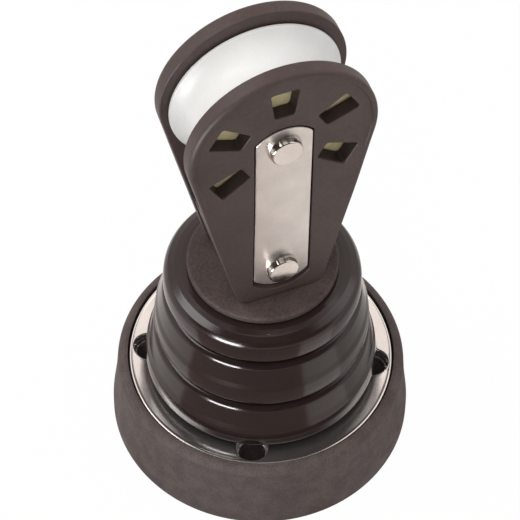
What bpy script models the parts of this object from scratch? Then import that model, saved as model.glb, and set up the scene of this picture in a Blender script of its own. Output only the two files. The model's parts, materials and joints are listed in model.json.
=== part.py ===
"""Stand-up block: a sheave block held upright on a flexible boot over a swivelling toggle."""
import math

import bmesh
import bpy
from mathutils import Matrix, Vector

MM = 0.001

# Running and seating gap between pieces, millimetres
GAP = 0.3

# Rubber base round the plate
BASE_LIP_WIDTH = 2.3
BASE_FLARE = 0.9
BASE_HEIGHT = 17.6
BASE_LIP_ROUND = 1.6
BASE_CORE_CLEARANCE = 2.0
POCKET_DEPTH = 3.4
POCKET_CLEARANCE = 0.4

# Stainless base plate
PLATE_RADIUS = 27.4
PLATE_THICKNESS = 1.2
PLATE_RIM_RISE = 1.4
PLATE_RIM_WIDTH = 3.3
PLATE_BORE_CLEARANCE = 0.5
HOLE_INSET = 4.1
HOLE_RADIUS = 2.65
COUNTERSINK_RADIUS = 3.6
COUNTERSINK_WALL = 0.3
COUNTERSINK_DEPTH = 2.3
HOLE_COUNT = 4
HOLE_TURN_DEG = -26.0

# Flexible boot
LOBE_COUNT = 3
LOBE_RADIUS = 23.9
LOBE_STEP = 1.9
LOBE_EDGE_RISE = 3.9
LOBE_DEPTH = 2.9
BOOT_WALL = 2.1
BOOT_FOOT_INSET = 5.5
BOOT_FOOT_THICKNESS = 1.6
BOOT_TOP_RISE = 5.0
BOOT_TOP_TAPER = 3.0

# Deck eye under the boot
EYE_FLANGE_INSET = 4.9
EYE_FLANGE_THICKNESS = 2.0
EYE_HUB_RADIUS = 10.5
STUD_RADIUS = 3.0
STUD_LENGTH = 9.6
WASHER_RADIUS = 7.5
WASHER_THICKNESS = 1.5
NUT_FLATS = 10.0
NUT_HEIGHT = 5.0

# Toggle between the two tilt pins
PIN_RADIUS = 2.0
PIN_HEAD_LAP = 1.0
PIN_HEAD_THICKNESS = 1.0
TONGUE_THICKNESS = 5.0
TONGUE_WALL = 2.0
EAR_THICKNESS = 3.2
EAR_WALL = 2.2
EAR_FLOOR_CLEARANCE = 0.9
EAR_TIP_CLEARANCE = 1.1

# Swivel head
CUP_RISE = 0.8
CUP_FLOOR = 3.0
CUP_WALL = 2.8
CUP_BORE_RADIUS = 7.6
CUP_FLANGE_INSET = 2.0
CUP_FLANGE_THICKNESS = 1.7
CUP_TOP_DROP = 1.2
POST_RADIUS = 4.0
POST_FLANGE_THICKNESS = 2.6
SWIVEL_NUT_DEPTH = 3.8
SWIVEL_NUT_LAP = 1.4
SWIVEL_NUT_FLANGE_THICKNESS = 0.9
SWIVEL_NUT_DROP = 0.2
DISC_RADIUS = 15.3
DISC_THICKNESS = 1.6
DISC_EDGE_ROUND = 0.6

# Block
SHEAVE_RADIUS = 17.5
SHEAVE_WIDTH = 11.9
SHEAVE_GROOVE_DEPTH = 2.9
SHEAVE_RIM_FLAT = 0.7
SHEAVE_WEB_RECESS = 0.8
BUSH_WALL = 1.5
CHEEK_COVER = 1.6
CHEEK_ARC_RISE = 1.2
CHEEK_THICKNESS = 3.45
CHEEK_EDGE_ROUND = 1.0
CHEEK_RIM_WIDTH = 1.1
CHEEK_FACE_SINK = 0.35
CHEEK_FACE_RUNOUT = 28.0
FOOT_SIDE_WALL = 3.7
FOOT_CORNER_RADIUS = 3.0
WINDOW_STRAP_WALL = 3.2
WINDOW_EDGE_WALL = 3.2
WINDOW_INNER_WIDTH = 4.0
WINDOW_OUTER_WIDTH = 5.8
WINDOW_CORNER_RADIUS = 0.5
WINDOW_PITCH_DEG = 60.0
WINDOW_COUNT = 5

# Straps, rivets and the foot between the cheeks
RIVET_SPACING = 37.4
LOWER_RIVET_RISE = 8.9
STRAP_WIDTH = 11.4
STRAP_THICKNESS = 1.5
STRAP_SINK = 0.2
STRAP_CORNER_REACH = 2.6
STRAP_END_REACH = 5.4
STRAP_POCKET_RELIEF = 1.1
RIVET_RADIUS = 2.6
RIVET_HEAD_LAP = 0.9
RIVET_HEAD_THICKNESS = 1.7
SPACER_ROOF = 0.6
POST_EYE_WALL = 3.1
POST_EYE_THICKNESS = 7.6

# Facets round a full turn
ROUND_LARGE = 36
ROUND_MEDIUM = 20
ROUND_SMALL = 12
GROOVE_POINTS = 8

# Radii that follow from the sizes above
POCKET_RADIUS = PLATE_RADIUS + POCKET_CLEARANCE
BASE_SHOULDER_RADIUS = POCKET_RADIUS + BASE_LIP_WIDTH
BASE_RADIUS = BASE_SHOULDER_RADIUS + BASE_FLARE
BASE_CORE_RADIUS = WASHER_RADIUS + BASE_CORE_CLEARANCE
PLATE_BORE_RADIUS = STUD_RADIUS + PLATE_BORE_CLEARANCE
HOLE_CIRCLE_RADIUS = PLATE_RADIUS - HOLE_INSET
TOP_LOBE_RADIUS = LOBE_RADIUS - LOBE_STEP * (LOBE_COUNT - 1)
BOOT_FOOT_RADIUS = LOBE_RADIUS - BOOT_FOOT_INSET
BOOT_TOP_RADIUS = TOP_LOBE_RADIUS - BOOT_TOP_TAPER
EYE_FLANGE_RADIUS = BOOT_FOOT_RADIUS - EYE_FLANGE_INSET
EAR_RADIUS = PIN_RADIUS + EAR_WALL
TONGUE_RADIUS = PIN_RADIUS + TONGUE_WALL
PIN_HEAD_RADIUS = PIN_RADIUS + PIN_HEAD_LAP
CUP_RADIUS = CUP_BORE_RADIUS + CUP_WALL
CUP_FLANGE_RADIUS = BOOT_TOP_RADIUS - BOOT_WALL - CUP_FLANGE_INSET
SWIVEL_NUT_FLANGE_RADIUS = CUP_BORE_RADIUS + SWIVEL_NUT_LAP
CHEEK_RADIUS = SHEAVE_RADIUS + CHEEK_COVER
FOOT_HALF_WIDTH = STRAP_WIDTH / 2 + FOOT_SIDE_WALL
WINDOW_INNER_RADIUS = STRAP_WIDTH / 2 + WINDOW_STRAP_WALL
WINDOW_OUTER_RADIUS = CHEEK_RADIUS - WINDOW_EDGE_WALL
RIVET_HEAD_RADIUS = RIVET_RADIUS + RIVET_HEAD_LAP
POST_EYE_RADIUS = RIVET_RADIUS + GAP + POST_EYE_WALL

# Heights that follow, from the deck up: the boot is as tall as the toggle and swivel it covers
POCKET_FLOOR = BASE_HEIGHT - POCKET_DEPTH
PLATE_FLOOR = POCKET_FLOOR + GAP + PLATE_THICKNESS
BOOT_BOTTOM = PLATE_FLOOR + GAP
EYE_FLANGE_BOTTOM = BOOT_BOTTOM + BOOT_FOOT_THICKNESS + GAP
EYE_FLANGE_TOP = EYE_FLANGE_BOTTOM + EYE_FLANGE_THICKNESS
LOWER_PIN_HEIGHT = EYE_FLANGE_TOP + EAR_RADIUS + EAR_FLOOR_CLEARANCE
UPPER_PIN_HEIGHT = LOWER_PIN_HEIGHT + 2 * EAR_RADIUS + EAR_TIP_CLEARANCE
CUP_BOTTOM = UPPER_PIN_HEIGHT + TONGUE_RADIUS + CUP_RISE
CUP_CAVITY_BOTTOM = CUP_BOTTOM + CUP_FLOOR
POST_FLANGE_BOTTOM = CUP_CAVITY_BOTTOM + GAP
POST_FLANGE_TOP = POST_FLANGE_BOTTOM + POST_FLANGE_THICKNESS
BOOT_TOP = POST_FLANGE_TOP + SWIVEL_NUT_DEPTH
CUP_FLANGE_TOP = BOOT_TOP - BOOT_WALL - GAP
CUP_TOP = BOOT_TOP - CUP_TOP_DROP
LOBE_EDGE_HEIGHT = PLATE_FLOOR + LOBE_EDGE_RISE
TOP_LOBE_HEIGHT = BOOT_TOP - BOOT_TOP_RISE
LOBE_PITCH = (TOP_LOBE_HEIGHT - LOBE_EDGE_HEIGHT) / max(LOBE_COUNT - 1, 1)
DISC_BOTTOM = BOOT_TOP + GAP
DISC_TOP = DISC_BOTTOM + DISC_THICKNESS
SWIVEL_NUT_TOP = DISC_TOP - SWIVEL_NUT_DROP
FOOT_BOTTOM = DISC_TOP + GAP
LOWER_RIVET_HEIGHT = FOOT_BOTTOM + LOWER_RIVET_RISE
AXLE_HEIGHT = LOWER_RIVET_HEIGHT + RIVET_SPACING
SPACER_TOP = LOWER_RIVET_HEIGHT + POST_EYE_RADIUS + GAP + SPACER_ROOF

# Places across the block, from its middle outward
CHEEK_INNER = SHEAVE_WIDTH / 2 + GAP
CHEEK_OUTER = CHEEK_INNER + CHEEK_THICKNESS
STRAP_OUTER = CHEEK_OUTER - STRAP_SINK
STRAP_INNER = STRAP_OUTER - STRAP_THICKNESS
STRAP_POCKET_FLOOR = STRAP_INNER - GAP
BUSH_BORE_RADIUS = RIVET_RADIUS + GAP
BUSH_RADIUS = BUSH_BORE_RADIUS + BUSH_WALL


def clear_scene():
    """Remove whatever the file already holds."""
    for old in list(bpy.data.objects):
        bpy.data.objects.remove(old, do_unlink=True)


def new_collection(name):
    """A collection linked under the scene."""
    made = bpy.data.collections.new(name)
    bpy.context.scene.collection.children.link(made)
    return made


def new_material(name, colour, roughness, metallic=0.0):
    """A plain Principled material."""
    made = bpy.data.materials.new(name)
    made.use_nodes = True
    shader = made.node_tree.nodes["Principled BSDF"]
    shader.inputs["Base Color"].default_value = (*colour, 1.0)
    shader.inputs["Roughness"].default_value = roughness
    shader.inputs["Metallic"].default_value = metallic
    made.diffuse_color = (*colour, 1.0)
    return made


def arc_points(centre, radius, start_deg, end_deg, steps):
    """Points along a circular arc, both ends included."""
    points = []
    for i in range(steps + 1):
        angle = math.radians(start_deg + (end_deg - start_deg) * i / steps)
        points.append((centre[0] + radius * math.cos(angle), centre[1] + radius * math.sin(angle)))
    return points


def circle_points(centre, radius, steps):
    """Points round a full circle, the first not repeated."""
    return arc_points(centre, radius, 0.0, 360.0, steps)[:-1]


def hull_outline(circles, steps_per_turn):
    """Outline of the convex hull round several circles, each given as (x, z, radius)."""
    cloud = []
    for x, z, radius in circles:
        cloud.extend(circle_points((x, z), radius, steps_per_turn))
    cloud = sorted(set((round(px, 7), round(pz, 7)) for px, pz in cloud))
    lower = half_hull(cloud)
    upper = half_hull(list(reversed(cloud)))
    return lower[:-1] + upper[:-1]


def half_hull(ordered):
    """One side of a convex hull by turning left only."""
    kept = []
    for point in ordered:
        while len(kept) > 1 and turn(kept[-2], kept[-1], point) <= 1e-9:
            kept.pop()
        kept.append(point)
    return kept


def turn(a, b, c):
    """Twice the signed area of a triangle."""
    return (b[0] - a[0]) * (c[1] - a[1]) - (b[1] - a[1]) * (c[0] - a[0])


def rounded_polygon(corners, radius, steps):
    """A polygon whose corners are replaced by arcs that touch both sides."""
    points = []
    count = len(corners)
    for i in range(count):
        here = Vector(corners[i])
        before = (Vector(corners[i - 1]) - here).normalized()
        after = (Vector(corners[(i + 1) % count]) - here).normalized()
        half = before.angle(after) / 2
        reach = radius / math.tan(half)
        centre = here + (before + after).normalized() * (radius / math.sin(half))
        start = here + before * reach - centre
        end = here + after * reach - centre
        for k in range(steps + 1):
            share = k / steps
            spoke = start.lerp(end, share).normalized() * radius
            points.append(tuple(centre + spoke))
    return points


def mesh_object(name, bm, collection, material, origin):
    """Turn a bmesh in millimetres into an object whose origin is at the given point."""
    bmesh.ops.recalc_face_normals(bm, faces=bm.faces)
    bmesh.ops.translate(bm, verts=bm.verts, vec=-Vector(origin))
    bmesh.ops.scale(bm, verts=bm.verts, vec=(MM, MM, MM))
    mesh = bpy.data.meshes.new(name)
    bm.to_mesh(mesh)
    bm.free()
    made = bpy.data.objects.new(name, mesh)
    made.location = Vector(origin) * MM
    if material:
        mesh.materials.append(material)
    collection.objects.link(made)
    return made


def shade_round(made):
    """Smooth shading with the real edges kept sharp."""
    made.data.shade_smooth()
    made.data.set_sharp_from_angle(angle=math.radians(35.0))


def turned(name, profile, collection, material, origin=(0, 0, 0), axis="Z", steps=ROUND_MEDIUM):
    """Spin a closed profile of (radius, height) about an axis through the origin.

    The profile runs down its outer side. Heights are measured along the axis from the origin.
    """
    bm = bmesh.new()
    verts = [bm.verts.new((r, 0.0, h)) for r, h in profile]
    for first, second in zip(verts, verts[1:]):
        bm.edges.new((first, second))
    if profile[0][0] > 0.0:
        bm.edges.new((verts[-1], verts[0]))
    bmesh.ops.scale(bm, verts=bm.verts, vec=(MM, MM, MM))
    mesh = bpy.data.meshes.new(name)
    bm.to_mesh(mesh)
    bm.free()
    made = bpy.data.objects.new(name, mesh)
    made.location = Vector(origin) * MM
    if axis == "Y":
        made.rotation_euler = (-math.pi / 2, 0.0, 0.0)
    if axis == "X":
        made.rotation_euler = (0.0, math.pi / 2, 0.0)
    if material:
        mesh.materials.append(material)
    collection.objects.link(made)
    spin = made.modifiers.new("spin", "SCREW")
    spin.axis = "Z"
    spin.angle = 2 * math.pi
    spin.steps = steps
    spin.render_steps = steps
    spin.use_merge_vertices = True
    spin.merge_threshold = 0.00001
    spin.use_smooth_shade = True
    return made


def prism(name, outline, low, high, collection, material, origin=(0, 0, 0), axis="Y",
          edge_round=0.0, round_side=0):
    """Extrude an outline of (across, up) along Y or X between two planes.

    round_side is +1 or -1 for rounding the edge on the high or low plane, 2 for both, 0 for none.
    """
    bm = bmesh.new()
    if axis == "Y":
        verts = [bm.verts.new((a, low, z)) for a, z in outline]
    else:
        verts = [bm.verts.new((low, a, z)) for a, z in outline]
    face = bm.faces.new(verts)
    made = bmesh.ops.extrude_face_region(bm, geom=[face])
    moved = [item for item in made["geom"] if isinstance(item, bmesh.types.BMVert)]
    push = (0.0, high - low, 0.0) if axis == "Y" else (high - low, 0.0, 0.0)
    bmesh.ops.translate(bm, verts=moved, vec=push)
    if edge_round > 0.0:
        index = 1 if axis == "Y" else 0
        planes = {1: [high], -1: [low], 2: [low, high]}[round_side]
        edges = []
        for edge in bm.edges:
            ends = [vert.co[index] for vert in edge.verts]
            if any(abs(ends[0] - p) < 1e-5 and abs(ends[1] - p) < 1e-5 for p in planes):
                edges.append(edge)
        bmesh.ops.bevel(bm, geom=edges, offset=edge_round, segments=3, profile=0.5,
                        affect="EDGES", clamp_overlap=True)
    return mesh_object(name, bm, collection, material, origin)


def as_cutter(made):
    """Mark an object as a construction body."""
    made.hide_render = True
    made.display_type = "WIRE"
    return made


def boolean(target, tool, operation):
    """Cut or join with another object by an exact Boolean."""
    as_cutter(tool)
    step = target.modifiers.new(tool.name, "BOOLEAN")
    step.operation = operation
    step.solver = "EXACT"
    step.object = tool
    return target


def cylinder_cutter(name, radius, low, high, cutters, origin, axis, steps=ROUND_SMALL):
    """A round cutter along an axis through the origin."""
    profile = [(0.0, high), (radius, high), (radius, low), (0.0, low)]
    return turned(name, profile, cutters, None, origin, axis, steps)


def put_under(parent, made):
    """Parent an object to an empty and keep its place."""
    made.parent = parent
    made.matrix_parent_inverse = Matrix.Translation(-parent.matrix_world.translation)


def axis_empty(name, height, collection):
    """An empty on a joint axis."""
    made = bpy.data.objects.new(name, None)
    made.empty_display_size = 0.005
    made.location = (0.0, 0.0, height * MM)
    made.matrix_world = Matrix.Translation((0.0, 0.0, height * MM))
    collection.objects.link(made)
    return made


def hole_places():
    """Centres of the fixing holes in the base."""
    places = []
    for i in range(HOLE_COUNT):
        angle = math.radians(HOLE_TURN_DEG + 360.0 * i / HOLE_COUNT)
        places.append((HOLE_CIRCLE_RADIUS * math.cos(angle), HOLE_CIRCLE_RADIUS * math.sin(angle)))
    return places


def base_ring(parts, cutters, rubber):
    """Rubber base: slightly conical outside, rounded lip, flat pocket for the plate."""
    lip_round = min(BASE_LIP_ROUND, BASE_LIP_WIDTH - 0.4)
    profile = [(POCKET_RADIUS, POCKET_FLOOR)]
    profile += [(POCKET_RADIUS, BASE_HEIGHT - 0.5), (POCKET_RADIUS + 0.25, BASE_HEIGHT - 0.08)]
    profile += arc_points((BASE_SHOULDER_RADIUS - lip_round, BASE_HEIGHT - lip_round),
                          lip_round, 90.0, 12.0, 5)
    profile += [(BASE_SHOULDER_RADIUS + 0.1, BASE_HEIGHT * 0.76)]
    profile += [(BASE_SHOULDER_RADIUS * 0.35 + BASE_RADIUS * 0.65, BASE_HEIGHT * 0.48)]
    profile += [(BASE_RADIUS, BASE_HEIGHT * 0.2), (BASE_RADIUS, 0.6), (BASE_RADIUS - 0.6, 0.0)]
    profile += [(BASE_CORE_RADIUS, 0.0), (BASE_CORE_RADIUS, POCKET_FLOOR)]
    made = turned("base_ring", profile, parts, rubber, steps=ROUND_LARGE)
    seat_radius = COUNTERSINK_RADIUS + COUNTERSINK_WALL + GAP
    seat_floor = PLATE_FLOOR - COUNTERSINK_DEPTH - GAP
    hole_profile = [(0.0, POCKET_FLOOR + 1.0), (seat_radius, POCKET_FLOOR + 1.0)]
    hole_profile += [(seat_radius, POCKET_FLOOR), (seat_radius - 0.4, seat_floor)]
    hole_profile += [(HOLE_RADIUS + 0.1, seat_floor), (HOLE_RADIUS + 0.1, -1.0), (0.0, -1.0)]
    for i, (x, y) in enumerate(hole_places()):
        tool = turned(f"base_hole_{i + 1}", hole_profile, cutters, None, (x, y, 0), "Z", ROUND_SMALL)
        boolean(made, tool, "DIFFERENCE")
    return made


def base_plate(parts, cutters, steel):
    """Dished stainless plate with an upturned rim and four pressed countersinks."""
    rise = PLATE_RIM_RISE
    start = PLATE_RADIUS - PLATE_RIM_WIDTH
    upper = [(PLATE_BORE_RADIUS, 0.0), (start, 0.0), (start + PLATE_RIM_WIDTH * 0.4, rise * 0.3)]
    upper += [(start + PLATE_RIM_WIDTH * 0.7, rise * 0.8), (PLATE_RADIUS - 0.5, rise)]
    upper += [(PLATE_RADIUS - 0.15, rise - 0.1), (PLATE_RADIUS, rise - 0.4)]
    lower = [(PLATE_RADIUS, rise - 0.7), (PLATE_RADIUS - 0.4, rise - PLATE_THICKNESS)]
    lower += [(start + PLATE_RIM_WIDTH * 0.7, rise * 0.8 - PLATE_THICKNESS)]
    lower += [(start + PLATE_RIM_WIDTH * 0.4, rise * 0.3 - PLATE_THICKNESS)]
    lower += [(start, -PLATE_THICKNESS), (PLATE_BORE_RADIUS, -PLATE_THICKNESS)]
    profile = [(r, PLATE_FLOOR + h) for r, h in upper + lower]
    made = turned("base_plate", profile, parts, steel, steps=ROUND_LARGE)
    wall = COUNTERSINK_RADIUS + COUNTERSINK_WALL
    cup = [(0.0, PLATE_FLOOR - 0.3), (wall, PLATE_FLOOR - 0.3)]
    cup += [(wall - 0.4, PLATE_FLOOR - COUNTERSINK_DEPTH), (0.0, PLATE_FLOOR - COUNTERSINK_DEPTH)]
    sink = [(0.0, PLATE_FLOOR + 2.0), (COUNTERSINK_RADIUS, PLATE_FLOOR + 2.0)]
    sink += [(COUNTERSINK_RADIUS, PLATE_FLOOR - 0.15)]
    sink += [(HOLE_RADIUS, PLATE_FLOOR - 0.15 - (COUNTERSINK_RADIUS - HOLE_RADIUS))]
    sink += [(HOLE_RADIUS, PLATE_FLOOR - COUNTERSINK_DEPTH - 1.0)]
    sink += [(0.0, PLATE_FLOOR - COUNTERSINK_DEPTH - 1.0)]
    for i, (x, y) in enumerate(hole_places()):
        dimple = turned(f"plate_dimple_{i + 1}", cup, cutters, None, (x, y, 0), "Z", ROUND_SMALL)
        boolean(made, dimple, "UNION")
    for i, (x, y) in enumerate(hole_places()):
        tool = turned(f"plate_sink_{i + 1}", sink, cutters, None, (x, y, 0), "Z", ROUND_SMALL)
        boolean(made, tool, "DIFFERENCE")
    return made


def boot(parts, rubber):
    """Moulded boot: stacked bell lobes outside, an even wall inside, open at both ends."""
    outer = [(CUP_RADIUS + GAP, BOOT_TOP), (BOOT_TOP_RADIUS - 1.0, BOOT_TOP)]
    outer += [(BOOT_TOP_RADIUS, BOOT_TOP - 0.35)]
    top_gap = TOP_LOBE_RADIUS - BOOT_TOP_RADIUS
    outer += [(TOP_LOBE_RADIUS - top_gap * 0.6, BOOT_TOP - BOOT_TOP_RISE * 0.25)]
    outer += [(TOP_LOBE_RADIUS - top_gap * 0.28, BOOT_TOP - BOOT_TOP_RISE * 0.5)]
    outer += [(TOP_LOBE_RADIUS - top_gap * 0.07, BOOT_TOP - BOOT_TOP_RISE * 0.8)]
    inner = [(BOOT_TOP_RADIUS - BOOT_WALL, BOOT_TOP - BOOT_WALL)]
    inner += [(CUP_RADIUS + GAP, BOOT_TOP - BOOT_WALL)]
    inner_lobes = []
    for i in range(LOBE_COUNT):
        radius = TOP_LOBE_RADIUS + LOBE_STEP * i
        height = TOP_LOBE_HEIGHT - LOBE_PITCH * i
        if i > 0:
            outer += [(radius - LOBE_STEP - LOBE_DEPTH, height + LOBE_PITCH - 2.2)]
            outer += [(radius - LOBE_DEPTH, height + LOBE_PITCH * 0.78)]
            outer += [(radius - LOBE_DEPTH * 0.6, height + LOBE_PITCH * 0.68)]
            outer += [(radius - LOBE_DEPTH * 0.36, height + LOBE_PITCH * 0.48)]
            outer += [(radius - LOBE_DEPTH * 0.12, height + LOBE_PITCH * 0.2)]
        outer += [(radius, height), (radius - 0.3, height - 1.1), (radius - 1.0, height - 1.7)]
        if i > 0:
            inner_lobes.append((radius - LOBE_DEPTH - BOOT_WALL - LOBE_STEP, height + LOBE_PITCH - 2.0))
            inner_lobes.append((radius - BOOT_WALL - 1.6, height + LOBE_PITCH * 0.6))
        inner_lobes.append((radius - BOOT_WALL - 0.3, height + 0.4))
    outer += [(BOOT_FOOT_RADIUS + 1.2, BOOT_BOTTOM + 1.2), (BOOT_FOOT_RADIUS, BOOT_BOTTOM + 0.8)]
    outer += [(BOOT_FOOT_RADIUS, BOOT_BOTTOM)]
    foot_inside = EYE_HUB_RADIUS + GAP
    foot_top = BOOT_BOTTOM + BOOT_FOOT_THICKNESS
    outer += [(foot_inside, BOOT_BOTTOM), (foot_inside, foot_top)]
    outer += [(BOOT_FOOT_RADIUS - 3.4, foot_top), (BOOT_FOOT_RADIUS - 1.4, foot_top + 0.7)]
    profile = outer + list(reversed(inner_lobes)) + inner
    return turned("boot", profile, parts, rubber, steps=ROUND_LARGE)


def ear_outline(radius, pivot, root):
    """An ear: round about its pin, with straight sides down or up to its root."""
    if root < pivot:
        return [(radius, root)] + arc_points((0.0, pivot), radius, 0.0, 180.0, 12) + [(-radius, root)]
    return [(-radius, root)] + arc_points((0.0, pivot), radius, 180.0, 360.0, 12) + [(radius, root)]


def pin(name, pivot, axis, parts, steel):
    """A riveted clevis pin with a thin head at each end."""
    inner = TONGUE_THICKNESS / 2 + GAP + EAR_THICKNESS + GAP
    end = inner + PIN_HEAD_THICKNESS
    profile = [(0.0, end), (PIN_HEAD_RADIUS - 0.3, end), (PIN_HEAD_RADIUS, end - 0.3)]
    profile += [(PIN_HEAD_RADIUS, inner), (PIN_RADIUS, inner), (PIN_RADIUS, -inner)]
    profile += [(PIN_HEAD_RADIUS, -inner), (PIN_HEAD_RADIUS, 0.3 - end)]
    profile += [(PIN_HEAD_RADIUS - 0.3, -end), (0.0, -end)]
    return turned(name, profile, parts, steel, (0, 0, pivot), axis, ROUND_SMALL)


def deck_eye(parts, cutters, steel):
    """Threaded stud, hub and flange with two ears; the flange clamps the foot of the boot."""
    stud_end = PLATE_FLOOR - PLATE_THICKNESS - STUD_LENGTH + 1.5
    profile = [(0.0, EYE_FLANGE_TOP), (EYE_FLANGE_RADIUS - 0.5, EYE_FLANGE_TOP)]
    profile += [(EYE_FLANGE_RADIUS, EYE_FLANGE_TOP - 0.5), (EYE_FLANGE_RADIUS, EYE_FLANGE_BOTTOM)]
    profile += [(EYE_HUB_RADIUS, EYE_FLANGE_BOTTOM), (EYE_HUB_RADIUS, BOOT_BOTTOM)]
    profile += [(STUD_RADIUS, BOOT_BOTTOM), (STUD_RADIUS, stud_end + 0.5)]
    profile += [(STUD_RADIUS - 0.5, stud_end), (0.0, stud_end)]
    made = turned("deck_eye", profile, parts, steel, steps=ROUND_MEDIUM)
    outline = ear_outline(EAR_RADIUS, LOWER_PIN_HEIGHT, EYE_FLANGE_TOP - EYE_FLANGE_THICKNESS / 2)
    near = TONGUE_THICKNESS / 2 + GAP
    far = near + EAR_THICKNESS
    for side, low, high in (("front", -far, -near), ("rear", near, far)):
        ear = prism(f"deck_ear_{side}", outline, low, high, cutters, None)
        boolean(made, ear, "UNION")
    tool = cylinder_cutter("deck_pin_hole", PIN_RADIUS + GAP, -far - 2, far + 2, cutters,
                           (0, 0, LOWER_PIN_HEIGHT), "Y")
    return boolean(made, tool, "DIFFERENCE")


def deck_eye_washer(parts, steel):
    """Plain washer under the plate."""
    top = PLATE_FLOOR - PLATE_THICKNESS - GAP
    profile = [(WASHER_RADIUS, top), (WASHER_RADIUS, top - WASHER_THICKNESS)]
    profile += [(STUD_RADIUS + GAP, top - WASHER_THICKNESS), (STUD_RADIUS + GAP, top)]
    return turned("deck_eye_washer", profile, parts, steel, steps=ROUND_MEDIUM)


def deck_eye_nut(parts, cutters, steel):
    """Hexagon nut that draws the deck eye down on the plate."""
    top = PLATE_FLOOR - PLATE_THICKNESS - GAP - WASHER_THICKNESS - GAP
    bm = bmesh.new()
    bmesh.ops.create_cone(bm, cap_ends=True, segments=6, radius1=NUT_FLATS / math.sqrt(3),
                          radius2=NUT_FLATS / math.sqrt(3), depth=NUT_HEIGHT)
    bmesh.ops.translate(bm, verts=bm.verts, vec=(0, 0, top - NUT_HEIGHT / 2))
    made = mesh_object("deck_eye_nut", bm, parts, steel, (0, 0, top - NUT_HEIGHT / 2))
    tool = cylinder_cutter("deck_nut_bore", STUD_RADIUS + GAP, -NUT_HEIGHT, NUT_HEIGHT, cutters,
                           (0, 0, top - NUT_HEIGHT / 2), "Z")
    return boolean(made, tool, "DIFFERENCE")


def toggle_link(parts, cutters, steel):
    """Twisted toggle: a tongue across each pin, at right angles to each other."""
    half = TONGUE_THICKNESS / 2
    middle = (LOWER_PIN_HEIGHT + UPPER_PIN_HEIGHT) / 2
    centre = (0, 0, LOWER_PIN_HEIGHT)
    lower = ear_outline(TONGUE_RADIUS, LOWER_PIN_HEIGHT, middle + 0.1)
    made = prism("toggle_link", lower, -half, half, parts, steel, centre)
    upper = ear_outline(TONGUE_RADIUS, UPPER_PIN_HEIGHT, middle - 0.15)
    tool = prism("toggle_upper_tongue", upper, -half, half, cutters, None, (0, 0, 0), "X")
    boolean(made, tool, "UNION")
    reach = half + 3
    hole = cylinder_cutter("toggle_lower_hole", PIN_RADIUS + GAP, -reach, reach, cutters, centre, "Y")
    boolean(made, hole, "DIFFERENCE")
    hole = cylinder_cutter("toggle_upper_hole", PIN_RADIUS + GAP, -reach, reach, cutters,
                           (0, 0, UPPER_PIN_HEIGHT), "X")
    return boolean(made, hole, "DIFFERENCE")


def swivel_fork(parts, cutters, steel):
    """Cup that traps the swivel post, with a clamping flange and two ears below."""
    profile = [(CUP_BORE_RADIUS, CUP_TOP), (CUP_RADIUS, CUP_TOP), (CUP_RADIUS, CUP_FLANGE_TOP)]
    flange_bottom = CUP_FLANGE_TOP - CUP_FLANGE_THICKNESS
    profile += [(CUP_FLANGE_RADIUS, CUP_FLANGE_TOP), (CUP_FLANGE_RADIUS, flange_bottom)]
    profile += [(CUP_RADIUS, flange_bottom), (CUP_RADIUS, CUP_BOTTOM + 1.0)]
    profile += [(CUP_RADIUS - 1.0, CUP_BOTTOM), (0.0, CUP_BOTTOM)]
    profile = [(0.0, CUP_CAVITY_BOTTOM), (CUP_BORE_RADIUS, CUP_CAVITY_BOTTOM)] + profile
    made = turned("swivel_fork", profile, parts, steel, (0, 0, 0), "Z", ROUND_MEDIUM)
    outline = ear_outline(EAR_RADIUS, UPPER_PIN_HEIGHT, CUP_BOTTOM + CUP_FLOOR / 2)
    near = TONGUE_THICKNESS / 2 + GAP
    far = near + EAR_THICKNESS
    for side, low, high in (("left", -far, -near), ("right", near, far)):
        ear = prism(f"fork_ear_{side}", outline, low, high, cutters, None, (0, 0, 0), "X")
        boolean(made, ear, "UNION")
    tool = cylinder_cutter("fork_pin_hole", PIN_RADIUS + GAP, -far - 2, far + 2, cutters,
                           (0, 0, UPPER_PIN_HEIGHT), "X")
    return boolean(made, tool, "DIFFERENCE")


def swivel_nut(parts, steel):
    """Flanged gland nut that closes the cup round the swivel post."""
    bore = POST_RADIUS + GAP
    body = CUP_BORE_RADIUS - GAP
    under = SWIVEL_NUT_TOP - SWIVEL_NUT_FLANGE_THICKNESS
    profile = [(bore, SWIVEL_NUT_TOP), (SWIVEL_NUT_FLANGE_RADIUS, SWIVEL_NUT_TOP)]
    profile += [(SWIVEL_NUT_FLANGE_RADIUS, under), (body, under)]
    profile += [(body, POST_FLANGE_TOP + GAP), (bore, POST_FLANGE_TOP + GAP)]
    return turned("swivel_nut", profile, parts, steel, steps=ROUND_MEDIUM)


def top_disc(parts, plastic):
    """Moulded disc that closes the boot, with a spigot below and a recess for the nut."""
    spigot = CUP_RADIUS - 0.1
    bore = CUP_BORE_RADIUS
    recess = SWIVEL_NUT_FLANGE_RADIUS + GAP
    recess_floor = SWIVEL_NUT_TOP - SWIVEL_NUT_FLANGE_THICKNESS - GAP
    rounding = DISC_EDGE_ROUND
    profile = [(recess, recess_floor), (recess, DISC_TOP)]
    profile += arc_points((DISC_RADIUS - rounding, DISC_TOP - rounding), rounding, 90.0, 0.0, 3)
    profile += arc_points((DISC_RADIUS - 0.4, DISC_BOTTOM + 0.4), 0.4, 0.0, -90.0, 2)
    profile += [(spigot, DISC_BOTTOM), (spigot, CUP_TOP + GAP), (bore, CUP_TOP + GAP)]
    profile += [(bore, recess_floor)]
    return turned("top_disc", profile, parts, plastic, steps=ROUND_LARGE)


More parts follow.
